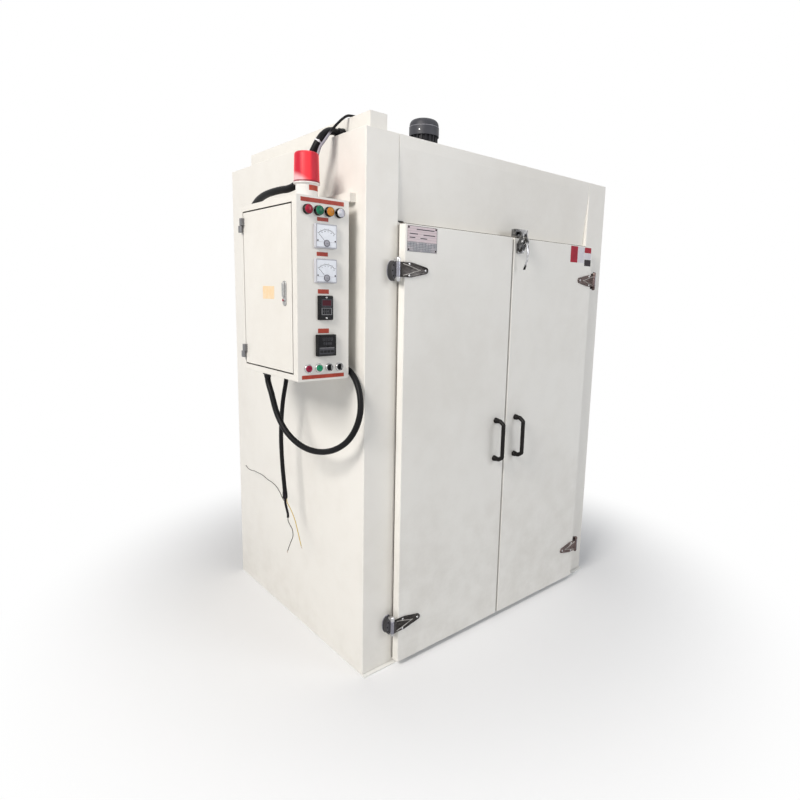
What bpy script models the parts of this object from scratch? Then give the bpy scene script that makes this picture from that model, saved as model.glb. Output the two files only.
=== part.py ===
"""Trolley oven: an insulated walk-in cabinet with two hinged doors.

A control box hangs on the left wall, a warning beacon stands on the box, and a fan motor and a wire
trunking stand on the roof. Metres, +Z up, front towards -Y. The origin is on the floor, at the centre
of the cabinet's footprint.
"""
from math import cos, pi, sin, tau

import bmesh
import bpy
from mathutils import Matrix, Vector

# Cabinet
WIDTH = 1.430
DEPTH = 1.100
WALL = 0.100
SEAT = 0.0003
LINER = 0.0015
FLOOR_PLATE = 0.006
SILL = 0.015
EDGE_ROUND = 0.002

# Front frame: a visible post each side, a header that leans back, and the door frame behind the doors
POST_FACE = 0.139
FRAME_LAP = 0.031
FRAME_DEPTH = 0.060
LINTEL_LAP = 0.040
HEADER_HEIGHT = 0.295
HEADER_FLUSH = 0.042
HEADER_LEAN = 0.018
HEADER_GAP = 0.008

# Doors
DOOR_BOTTOM = 0.020
DOOR_HEIGHT = 1.677
DOOR_PAN = 0.035
DOOR_GAP = 0.010
GASKET = 0.006
GASKET_WIDTH = 0.016
GASKET_INSET = 0.006
PLUG_DEPTH = 0.050
PLUG_CLEARANCE = 0.012
PLUG_MEETING = 0.017

# Door hinges: a block on the post, a strap on the door and a pin through their knuckles
PIN_OFF_DOOR = 0.0275
PIN_OFF_POST = 0.040
PIN_RADIUS = 0.004
PIN_CLEARANCE = 0.0005
KNUCKLE_RADIUS = 0.009
KNUCKLE_HEIGHT = 0.086
STRAP_KNUCKLE = 0.052
HINGE_FROM_TOP = 0.158
HINGE_FROM_BOTTOM = 0.162
LEAF_BACK = 0.020
LEAF_FRONT = 0.012
LEAF_HEIGHT = 0.070
LEAF_DEPTH = 0.025
LEAF_DROP = 0.0045
STRAP_LENGTH = 0.135
STRAP_THICKNESS = 0.008
STRAP_SHOULDER = 0.058
STRAP_TIP_RADIUS = 0.012

# Door handles
HANDLE_OFF_MIDDLE = 0.064
HANDLE_HEIGHT = 0.848
HANDLE_LENGTH = 0.166
HANDLE_REACH = 0.047
HANDLE_LEG = 0.028
HANDLE_CHAMFER = 0.012
HANDLE_RADIUS = 0.0088
HANDLE_FOOT_RADIUS = 0.0110
HANDLE_FOOT = 0.0120

# Latch at the top of the right door
LATCH_OFF_MIDDLE = 0.035
LATCH_BASE_WIDTH = 0.038
LATCH_BASE_HEIGHT = 0.040
LATCH_BASE_DROP = 0.023
LATCH_BASE_THICKNESS = 0.012
LATCH_CHEEK = 0.005
LATCH_CHEEK_RIM = 0.008
LATCH_PIVOT_DROP = 0.017
LATCH_PIVOT_REACH = 0.029
LATCH_PIN_RADIUS = 0.0035
LATCH_CLAW_RISE = 0.025
LATCH_CLAW_HEIGHT = 0.010
LATCH_CLAW_DEPTH = 0.010
LATCH_CLAW_CLEAR = 0.006
LEVER_WIDTH = 0.014
LEVER_RISE = 0.014
LEVER_DROP = 0.113
LEVER_OFFSET = 0.007
LEVER_BOW = 0.016
LEVER_THICKNESS = 0.006
LEVER_EYE_RADIUS = 0.0085
STRIKE_WIDTH = 0.077
STRIKE_HEIGHT = 0.0257
STRIKE_REACH = 0.0485
STRIKE_BAR = 0.0235
STRIKE_BRACKET = 0.028
STRIKE_OFF_LATCH = 0.0045

# Control box on the left wall
BOX_WIDTH = 0.196
BOX_DEPTH = 0.420
BOX_HEIGHT = 0.600
BOX_DROP = 0.243
BOX_FROM_FRONT = 0.041
BOX_OFF_WALL = 0.040
BOX_SHEET = 0.002
BOX_RIM_FRONT = 0.030
BOX_RIM_BACK = 0.014
BOX_RIM_ENDS = 0.021
BOX_DOOR_GAP = 0.005
BOX_DOOR_THICKNESS = 0.014
BOX_PIN_OFF_DOOR = 0.007
BOX_PIN_FROM_BACK = 0.015
BOX_PIN_RADIUS = 0.0025
BOX_KNUCKLE_RADIUS = 0.006
BOX_HINGE_HEIGHT = 0.050
BOX_HINGE_WIDTH = 0.015
BOX_HINGE_FROM_END = 0.070
BOX_HINGE_GAP = 0.001
LOCK_WIDTH = 0.024
LOCK_HEIGHT = 0.082
LOCK_THICKNESS = 0.004
LOCK_FROM_FRONT = 0.084
LOCK_HEIGHT_ABOVE_BOTTOM = 0.289

# Frame that carries the control box
UPPER_RAIL_HEIGHT = 0.030
UPPER_RAIL_WIDTH = 0.024
UPPER_RAIL_RISE = 0.003
UPPER_RAIL_SETBACK = 0.018
LOWER_RAIL_HEIGHT = 0.040
LOWER_RAIL_RISE = 0.008
LOWER_RAIL_SETBACK = 0.109
RAIL_BACK = 0.010
STRUT_WIDTH = 0.030

# Fittings on the instrument panel. Each share is a fitting's height in the box's own height
FITTING_PITCH = 0.040
LAMP_SHARE = 0.9275
LAMP_RADIUS = 0.0150
LAMP_REACH = 0.012
BUTTON_SHARE = 0.0717
BEZEL_RADIUS = 0.0145
BEZEL_REACH = 0.005
BUTTON_RADIUS = 0.0105
BUTTON_HOLE = 0.0110
BUTTON_REACH = 0.010
BUTTON_STEM = 0.012
SELECTOR_REACH = 0.008
SELECTOR_BAR = 0.006
SELECTOR_BAR_REACH = 0.018
METER_WIDTH = 0.080
METER_HEIGHT = 0.078
METER_REACH = 0.013
UPPER_METER_SHARE = 0.7950
LOWER_METER_SHARE = 0.6092
METER_PIVOT_RADIUS = 0.011
METER_PIVOT_REACH = 0.003
METER_PIVOT_DROP = 0.023
METER_OFFSET = 0.004
TIMER_WIDTH = 0.056
TIMER_HEIGHT = 0.081
TIMER_SHARE = 0.4075
TIMER_REACH = 0.012
CONTROLLER_SIZE = 0.072
CONTROLLER_SHARE = 0.1992
CONTROLLER_REACH = 0.014

# Beacon on top of the control box
BEACON_FROM_FRONT = 0.104
BEACON_OFF_MIDDLE = -0.002
BEACON_BASE_RADIUS = 0.037
BEACON_BASE_HEIGHT = 0.056
BEACON_RIM_RADIUS = 0.0445
BEACON_RIM_HEIGHT = 0.006
BEACON_LENS_RADIUS = 0.0435
BEACON_LENS_TOP_RADIUS = 0.0405
BEACON_LENS_HEIGHT = 0.099
BEACON_LENS_ROUND = 0.010

# Wire trunking on the roof
TRUNKING_WIDTH = 0.071
TRUNKING_HEIGHT = 0.0635
TRUNKING_LENGTH = 0.942
TRUNKING_FROM_LEFT = 0.043
TRUNKING_FROM_FRONT = 0.038

# Fan motor, upright in the middle of the roof
MOTOR_PLATE = 0.220
MOTOR_PLATE_THICKNESS = 0.010
MOTOR_FLANGE_RADIUS = 0.080
MOTOR_FLANGE_HEIGHT = 0.014
MOTOR_BODY_RADIUS = 0.066
MOTOR_FIN_ROOT = 0.059
MOTOR_FINS = 20
MOTOR_BODY_HEIGHT = 0.178
COWL_RADIUS = 0.071
COWL_CROWN_RADIUS = 0.067
COWL_FLAT_RADIUS = 0.036
COWL_HEIGHT = 0.080
COWL_DOME = 0.033
COWL_SHOULDER = 0.043
COWL_OVERLAP = 0.010
COWL_WALL = 0.003
TERMINAL_WIDTH = 0.080
TERMINAL_HEIGHT = 0.070
TERMINAL_REACH = 0.105
TERMINAL_RISE = 0.095

# Cords and their necks. Places are offsets from a corner: the control box's lower front left one for
# the loop, the power cable, the sheath's and core's ends and the motor cable's start, and the
# cabinet's upper front left one for the glands on its wall and trunking
GLAND_LENGTH = 0.020
GLAND_WALL = 0.005
LOOP_RADIUS = 0.011
ROOF_CONDUIT_RADIUS = 0.013
MOTOR_CABLE_RADIUS = 0.0045
POWER_CABLE_RADIUS = 0.0085
CABLE_CORE_RADIUS = 0.0048
WIRE_RADIUS = 0.0015
LOOP_START = (0.066, 0.365)
POWER_CABLE_START = (0.136, 0.346)
MOTOR_CABLE_START = (0.154, 0.159)
MOTOR_CABLE_END_RISE = 0.105
WALL_GLAND = (0.680, -0.272)
TRUNKING_GLAND = (0.205, 0.016)
SHEATH_END = (0.136, 0.373, -0.541)
CORE_END = (0.136, 0.351, -0.616)
LEAD = 0.012
TUBE_TURN = 0.1

# Places worked out from the sizes above
LEFT = -WIDTH / 2
RIGHT = WIDTH / 2
FRONT = -DEPTH / 2
BACK = DEPTH / 2
FRAME_EDGE = WIDTH / 2 - POST_FACE
OPENING_EDGE = FRAME_EDGE - FRAME_LAP
DOOR_TOP = DOOR_BOTTOM + DOOR_HEIGHT
DOOR_BACK = FRONT - GASKET
DOOR_FRONT = DOOR_BACK - DOOR_PAN
HEADER_BOTTOM = DOOR_TOP + HEADER_GAP
HEIGHT = HEADER_BOTTOM + HEADER_HEIGHT
LINTEL_BOTTOM = HEADER_BOTTOM - SEAT - LINTEL_LAP
PIN_X = FRAME_EDGE + PIN_OFF_DOOR
PIN_Y = FRONT - PIN_OFF_POST
HINGE_HEIGHTS = {"upper": DOOR_TOP - HINGE_FROM_TOP, "lower": DOOR_BOTTOM + HINGE_FROM_BOTTOM}
BOX_RIGHT = LEFT - BOX_OFF_WALL
BOX_LEFT = BOX_RIGHT - BOX_WIDTH
BOX_MIDDLE = (BOX_LEFT + BOX_RIGHT) / 2
BOX_FRONT = FRONT + BOX_FROM_FRONT
BOX_BACK = BOX_FRONT + BOX_DEPTH
BOX_TOP = HEIGHT - BOX_DROP
BOX_BOTTOM = BOX_TOP - BOX_HEIGHT
BOX_PIN_X = BOX_LEFT - BOX_PIN_OFF_DOOR
BOX_PIN_Y = BOX_BACK - BOX_PIN_FROM_BACK
TRUNKING_LEFT = LEFT + TRUNKING_FROM_LEFT
BOX_CORNER = Vector((BOX_LEFT, BOX_FRONT, BOX_BOTTOM))
ROOF_CORNER = Vector((LEFT, FRONT, HEIGHT))
LOOP_ROOT = BOX_CORNER + Vector((*LOOP_START, 0))
POWER_CABLE_ROOT = BOX_CORNER + Vector((*POWER_CABLE_START, 0))
MOTOR_CABLE_ROOT = BOX_CORNER + Vector((*MOTOR_CABLE_START, BOX_HEIGHT))
MOTOR_CABLE_FOOT = Vector((-TERMINAL_REACH, 0, HEIGHT + MOTOR_CABLE_END_RISE))
WALL_GLAND_ROOT = ROOF_CORNER + Vector((0, *WALL_GLAND))
TRUNKING_ROOT = ROOF_CORNER + Vector((TRUNKING_FROM_LEFT, *TRUNKING_GLAND))
SHEATH_FOOT = BOX_CORNER + Vector(SHEATH_END)
CORE_FOOT = BOX_CORNER + Vector(CORE_END)

FINISHES = {
    "cream_paint": ((0.86, 0.83, 0.77), 0.42, 0.0),
    "floor_steel": ((0.62, 0.62, 0.60), 0.45, 0.9),
    "liner_steel": ((0.66, 0.67, 0.68), 0.38, 0.9),
    "gasket_rubber": ((0.16, 0.16, 0.16), 0.80, 0.0),
    "hinge_steel": ((0.33, 0.33, 0.35), 0.28, 1.0),
    "latch_chrome": ((0.72, 0.73, 0.75), 0.15, 1.0),
    "black_plastic": ((0.03, 0.03, 0.03), 0.45, 0.0),
    "motor_paint": ((0.10, 0.11, 0.13), 0.50, 0.0),
    "lock_grey": ((0.45, 0.46, 0.47), 0.40, 0.6),
    "beacon_red": ((0.85, 0.04, 0.08), 0.20, 0.0),
    "beacon_white": ((0.88, 0.87, 0.85), 0.35, 0.0),
    "meter_white": ((0.85, 0.87, 0.90), 0.25, 0.0),
    "button_red": ((0.70, 0.03, 0.06), 0.30, 0.0),
    "button_green": ((0.02, 0.55, 0.25), 0.30, 0.0),
    "cord_black": ((0.03, 0.03, 0.03), 0.50, 0.0),
    "wire_yellow": ((0.85, 0.78, 0.35), 0.50, 0.0),
    "wire_grey": ((0.40, 0.40, 0.40), 0.40, 0.3),
}

# Rows of each table: where the outline's own two axes and its thickness point in the world
PLAN = Matrix(((1, 0, 0), (0, 1, 0), (0, 0, 1)))
FRONT_VIEW = Matrix(((1, 0, 0), (0, 0, -1), (0, 1, 0)))
SIDE_VIEW = Matrix(((0, 0, 1), (1, 0, 0), (0, 1, 0)))


def clear_scene():
    """Remove every object of the scene that the file opens with."""
    for thing in list(bpy.data.objects):
        bpy.data.objects.remove(thing, do_unlink=True)


def new_collection(name):
    """A collection linked to the scene."""
    group = bpy.data.collections.new(name)
    bpy.context.scene.collection.children.link(group)
    return group


def finish_material(name):
    """The Principled material of one named finish, made once."""
    made = bpy.data.materials.get(name)
    if made:
        return made
    colour, roughness, metallic = FINISHES[name]
    made = bpy.data.materials.new(name)
    made.use_nodes = True
    shader = made.node_tree.nodes["Principled BSDF"]
    shader.inputs["Base Color"].default_value = (*colour, 1.0)
    shader.inputs["Roughness"].default_value = roughness
    shader.inputs["Metallic"].default_value = metallic
    return made


def new_object(name, data, place, finish):
    """A named part at its place; without a finish it is a hidden tool for a Boolean."""
    thing = bpy.data.objects.new(name, data)
    thing.location = place
    if finish:
        PARTS.objects.link(thing)
        data.materials.append(finish_material(finish))
    else:
        TOOLS.objects.link(thing)
        thing.hide_render = True
        thing.display_type = "WIRE"
    return thing


def finished_mesh(name, shape, round_off=False):
    """Turn a bmesh into a mesh, shaded smooth between flats when the shape is round."""
    mesh = bpy.data.meshes.new(name)
    shape.to_mesh(mesh)
    shape.free()
    if round_off:
        mesh.shade_smooth()
        mesh.set_sharp_from_angle(angle=pi / 5)
    return mesh


def box(name, low, high, finish=None):
    """A box between two corners, with its origin in the middle."""
    low, high = Vector(low), Vector(high)
    shape = bmesh.new()
    bmesh.ops.create_cube(shape, size=1.0)
    bmesh.ops.scale(shape, vec=high - low, verts=shape.verts)
    return new_object(name, finished_mesh(name, shape), (low + high) / 2, finish)


def rod(name, start, along, length, radius, finish=None, sides=24):
    """A round bar from its start point along a direction."""
    direction = Vector(along).normalized()
    shape = bmesh.new()
    bmesh.ops.create_cone(
        shape, cap_ends=True, segments=sides, radius1=radius, radius2=radius, depth=length)
    turn = direction.to_track_quat("Z", "Y").to_matrix()
    bmesh.ops.rotate(shape, cent=(0, 0, 0), matrix=turn, verts=shape.verts)
    middle = Vector(start) + direction * length / 2
    return new_object(name, finished_mesh(name, shape, True), middle, finish)


def mesh_from_curve(name, curve, view=PLAN):
    """The evaluated mesh of a curve, with its caps welded, turned into its view."""
    source = bpy.data.objects.new(name + "_curve", curve)
    TOOLS.objects.link(source)
    bpy.context.view_layer.update()
    evaluated = source.evaluated_get(bpy.context.evaluated_depsgraph_get())
    mesh = bpy.data.meshes.new_from_object(evaluated)
    bpy.data.objects.remove(source, do_unlink=True)
    shape = bmesh.new()
    shape.from_mesh(mesh)
    bmesh.ops.remove_doubles(shape, verts=shape.verts, dist=0.00001)
    shape.transform(view.to_4x4())
    shape.to_mesh(mesh)
    shape.free()
    return mesh


def plate(name, outline, thickness, place, finish=None, view=PLAN):
    """A flat outline with a thickness. Its place is where the outline's zero and mid thickness go."""
    curve = bpy.data.curves.new(name, "CURVE")
    curve.dimensions = "2D"
    curve.fill_mode = "BOTH"
    curve.extrude = thickness / 2
    spline = curve.splines.new("POLY")
    spline.points.add(len(outline) - 1)
    for point, (across, up) in zip(spline.points, outline):
        point.co = (across, up, 0, 1)
    spline.use_cyclic_u = True
    return new_object(name, mesh_from_curve(name, curve, view), place, finish)


def arc(middle, radius, start, end, steps):
    """Points on a circle from one angle to another, both ends included."""
    return [
        (middle[0] + radius * cos(start + (end - start) * i / steps),
         middle[1] + radius * sin(start + (end - start) * i / steps))
        for i in range(steps + 1)]


def turned(name, profile, place, finish, steps=32):
    """A profile of radius and height pairs, from the top down its outer side, turned about Z."""
    shape = bmesh.new()
    points = [shape.verts.new((radius, 0, height)) for radius, height in profile]
    for upper, lower in zip(points, points[1:]):
        shape.edges.new((upper, lower))
    thing = new_object(name, finished_mesh(name, shape), place, finish)
    screw = thing.modifiers.new("turn", "SCREW")
    screw.steps = screw.render_steps = steps
    screw.use_merge_vertices = True
    screw.merge_threshold = 0.00001
    return thing


def smooth_route(points, spacing):
    """Points about one spacing apart on a smooth curve that passes through the given points."""
    route = [Vector(point) for point in points]
    chords = [(b - a).length for a, b in zip(route, route[1:])]
    slopes = [(b - a) / chord for a, b, chord in zip(route, route[1:], chords)]
    tangents = [slopes[0]]
    for before, after, slope_in, slope_out in zip(chords, chords[1:], slopes, slopes[1:]):
        tangents.append((slope_in * after + slope_out * before) / (before + after))
    tangents.append(slopes[-1])
    smooth = [route[0]]
    for i, chord in enumerate(chords):
        steps = max(1, round(chord / spacing))
        for step in range(1, steps + 1):
            t = step / steps
            smooth.append(
                route[i] * (2 * t**3 - 3 * t**2 + 1) + route[i + 1] * (3 * t**2 - 2 * t**3)
                + tangents[i] * chord * (t**3 - 2 * t**2 + t)
                + tangents[i + 1] * chord * (t**3 - t**2))
    return smooth


def tube_curve(name, points, radius, sides_factor):
    """A round tube along a list of points, its facets turned off those of the rods it meets."""
    curve = bpy.data.curves.new(name, "CURVE")
    curve.dimensions = "3D"
    curve.bevel_depth = radius
    curve.bevel_resolution = sides_factor
    curve.use_fill_caps = True
    spline = curve.splines.new("POLY")
    spline.points.add(len(points) - 1)
    for point, place in zip(spline.points, points):
        point.co = (*place, 1)
        point.tilt = TUBE_TURN
    return curve


def cord(name, route, radius, finish, spacing=2.5):
    """A cord's tube along a smooth curve through its route."""
    points = smooth_route(route, 2 * radius * spacing)
    sides_factor = 2 if radius < 0.002 else 3
    return new_object(name, tube_curve(name, points, radius, sides_factor), (0, 0, 0), finish)


def combine(thing, tool, operation="UNION"):
    """Join a tool to a piece, or cut it away, and let it follow the piece."""
    tool.location -= thing.location
    tool.parent = thing
    change = thing.modifiers.new(operation.lower(), "BOOLEAN")
    change.operation = operation
    change.solver = "EXACT"
    change.object = tool
    return thing


def round_edges(thing, width=EDGE_ROUND, segments=1):
    """Round a piece's edges like folded sheet."""
    bevel = thing.modifiers.new("round", "BEVEL")
    bevel.width = width
    bevel.segments = segments
    bevel.limit_method = "ANGLE"
    return thing


def pivot(name, place, things):
    """An empty on a joint's axis that carries the pieces which move about it."""
    empty = bpy.data.objects.new(name, None)
    empty.location = place
    PARTS.objects.link(empty)
    for thing in things:
        thing.location -= empty.location
        thing.parent = empty
    return empty


def neck(thing, start, along, radius):
    """Join a gland's round neck to the piece that carries it; it starts inside the piece."""
    root = Vector(start) - Vector(along) * BOX_SHEET / 2
    tool = rod(thing.name + "_neck", root, along, GLAND_LENGTH + BOX_SHEET / 2, radius + GLAND_WALL)
    return combine(thing, tool)


def build_cabinet():
    """The insulated walls, roof, header, door frame, chamber liner and floor plate."""
    box("floor_plate", (LEFT, FRONT - SILL, 0), (RIGHT, BACK, FLOOR_PLATE), "floor_steel")
    wall_base = FLOOR_PLATE + SEAT
    for name, side in (("left_wall", -1), ("right_wall", 1)):
        xs = sorted((side * RIGHT, side * FRAME_EDGE))
        wall = round_edges(box(name, (xs[0], FRONT, wall_base), (xs[1], BACK, HEIGHT), "cream_paint"))
        xs = sorted((side * (RIGHT - WALL), 0))
        combine(wall, box(
            name + "_inside", (xs[0], FRONT + WALL, -WALL), (xs[1], BACK + WALL, HEIGHT + WALL)),
            "DIFFERENCE")
    inner = RIGHT - WALL - SEAT
    round_edges(box("back_wall", (-inner, BACK - WALL, wall_base), (inner, BACK, HEIGHT), "cream_paint"))
    header_edge = FRAME_EDGE - SEAT
    header_back = FRONT + WALL
    round_edges(box(
        "roof_panel", (-inner, header_back + SEAT, HEIGHT - WALL),
        (inner, BACK - WALL - SEAT, HEIGHT), "cream_paint"))
    outline = [
        (FRONT, HEIGHT), (FRONT, HEIGHT - HEADER_FLUSH), (FRONT + HEADER_LEAN, HEADER_BOTTOM),
        (header_back, HEADER_BOTTOM), (header_back, HEIGHT)]
    round_edges(plate("header_panel", outline, 2 * header_edge, (0, 0, 0), "cream_paint", SIDE_VIEW))
    frame_top = HEADER_BOTTOM - SEAT
    frame = box(
        "door_frame", (-header_edge, FRONT, wall_base), (header_edge, FRONT + FRAME_DEPTH, frame_top),
        "cream_paint")
    combine(frame, box(
        "door_frame_opening", (-OPENING_EDGE, FRONT - WALL, -WALL),
        (OPENING_EDGE, FRONT + WALL, LINTEL_BOTTOM)), "DIFFERENCE")
    liner_top = HEIGHT - WALL - SEAT
    liner = box(
        "chamber_liner", (-inner, header_back + SEAT, wall_base),
        (inner, BACK - WALL - SEAT, liner_top), "liner_steel")
    combine(liner, box(
        "chamber_space", (LINER - inner, FRONT, -WALL),
        (inner - LINER, BACK - WALL - SEAT - LINER, liner_top - LINER)), "DIFFERENCE")


def build_door(word, side):
    """One insulated door leaf with its plug and gasket. Side is -1 on the left and 1 on the right."""
    meeting = DOOR_GAP / 2
    xs = sorted((side * meeting, side * FRAME_EDGE))
    leaf = box(
        word + "_door", (xs[0], DOOR_FRONT, DOOR_BOTTOM), (xs[1], DOOR_BACK, DOOR_TOP), "cream_paint")
    plug_inner = meeting + PLUG_MEETING
    plug_outer = OPENING_EDGE - PLUG_CLEARANCE
    plug_bottom = DOOR_BOTTOM + PLUG_CLEARANCE
    plug_top = LINTEL_BOTTOM - PLUG_CLEARANCE
    plug_back = FRONT + PLUG_DEPTH
    px = sorted((side * plug_inner, side * plug_outer))
    round_edges(leaf)
    combine(leaf, round_edges(box(
        word + "_plug", (px[0], DOOR_BACK - DOOR_PAN / 2, plug_bottom), (px[1], plug_back, plug_top))))
    gx = sorted((side * (meeting + SEAT), side * (FRAME_EDGE - GASKET_INSET)))
    gasket = box(
        word + "_gasket", (gx[0], DOOR_BACK + SEAT, DOOR_BOTTOM + GASKET_INSET),
        (gx[1], FRONT - SEAT, DOOR_TOP - GASKET_INSET), "gasket_rubber")
    hole = sorted((side * (plug_inner - SEAT), side * (FRAME_EDGE - GASKET_INSET - GASKET_WIDTH)))
    combine(gasket, box(
        word + "_gasket_hole", (hole[0], DOOR_FRONT, plug_bottom - SEAT),
        (hole[1], FRONT + WALL, DOOR_TOP - GASKET_INSET - GASKET_WIDTH)), "DIFFERENCE")
    return [leaf, gasket]


def build_hinge(word, height_word, side):
    """A hinge: the block on the post with its pin, and the strap on the door."""
    z = HINGE_HEIGHTS[height_word]
    name = f"{word}_{height_word}_hinge"
    half = LEAF_HEIGHT / 2
    round_back = arc((0, 0), 1, pi / 2, -pi / 2, 8)
    outline = [(-side * LEAF_FRONT, half)]
    outline += [(side * LEAF_BACK * across, half * up) for across, up in round_back]
    outline += [(-side * LEAF_FRONT, -half)]
    leaf = plate(
        name + "_block", outline, LEAF_DEPTH,
        (side * PIN_X, FRONT - SEAT - LEAF_DEPTH / 2, z - LEAF_DROP), "hinge_steel", FRONT_VIEW)
    pin_foot = (side * PIN_X, PIN_Y, z - KNUCKLE_HEIGHT / 2)
    end_height = (KNUCKLE_HEIGHT - STRAP_KNUCKLE) / 2 - PIN_CLEARANCE
    for i, foot in enumerate((z - KNUCKLE_HEIGHT / 2, z + KNUCKLE_HEIGHT / 2 - end_height)):
        lug = f"{name}_lug_{i}"
        combine(leaf, rod(lug, (side * PIN_X, PIN_Y, foot), (0, 0, 1), end_height, KNUCKLE_RADIUS))
        bridge_low = (side * PIN_X - KNUCKLE_RADIUS * 0.8, PIN_Y, foot)
        bridge_high = (
            side * PIN_X + KNUCKLE_RADIUS * 0.8, FRONT - SEAT - LEAF_DEPTH / 2, foot + end_height)
        combine(leaf, box(lug + "_bridge", bridge_low, bridge_high))
    combine(leaf, rod(name + "_pin", pin_foot, (0, 0, 1), KNUCKLE_HEIGHT, PIN_RADIUS))

    half = STRAP_KNUCKLE / 2
    tip = STRAP_LENGTH - STRAP_TIP_RADIUS
    shape = [(0, half), (STRAP_SHOULDER, half)]
    shape += arc((tip, 0), STRAP_TIP_RADIUS, pi / 2 - 0.2, -pi / 2 + 0.2, 8)
    shape += [(STRAP_SHOULDER, -half), (0, -half)]
    shape = [(-side * x, y) for x, y in shape]
    strap_y = DOOR_FRONT - SEAT - STRAP_THICKNESS / 2
    strap = plate(
        name + "_strap", shape, STRAP_THICKNESS, (side * PIN_X, strap_y, z), "hinge_steel", FRONT_VIEW)
    knuckle_foot = (side * PIN_X, PIN_Y, z - half)
    combine(strap, rod(name + "_knuckle", knuckle_foot, (0, 0, 1), STRAP_KNUCKLE, KNUCKLE_RADIUS))
    bore_foot = (side * PIN_X, PIN_Y, z - KNUCKLE_HEIGHT / 2)
    combine(strap, rod(
        name + "_bore", bore_foot, (0, 0, 1), KNUCKLE_HEIGHT, PIN_RADIUS + PIN_CLEARANCE), "DIFFERENCE")
    return strap


def build_handle(word, side):
    """A black pull handle with chamfered corners and two round feet."""
    x = side * HANDLE_OFF_MIDDLE
    half = HANDLE_LENGTH / 2
    seat_y = DOOR_FRONT - SEAT
    reach_y = DOOR_FRONT - HANDLE_REACH
    path = [
        (x, seat_y - HANDLE_FOOT / 2, half), (x, DOOR_FRONT - HANDLE_LEG, half),
        (x, reach_y, half - HANDLE_CHAMFER), (x, reach_y, 0)]
    path += [(px, py, -pz) for px, py, pz in reversed(path[:-1])]
    mesh = mesh_from_curve(word + "_handle", tube_curve(word + "_bar", path, HANDLE_RADIUS, 3))
    mesh.shade_smooth()
    mesh.set_sharp_from_angle(angle=pi / 4)
    handle = new_object(word + "_handle", mesh, (0, 0, HANDLE_HEIGHT), "black_plastic")
    for i, z in enumerate((-half, half)):
        foot = (x, seat_y, HANDLE_HEIGHT + z)
        combine(handle, rod(
            f"{word}_handle_foot_{i}", foot, (0, -1, 0), HANDLE_FOOT, HANDLE_FOOT_RADIUS))
    return handle


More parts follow.
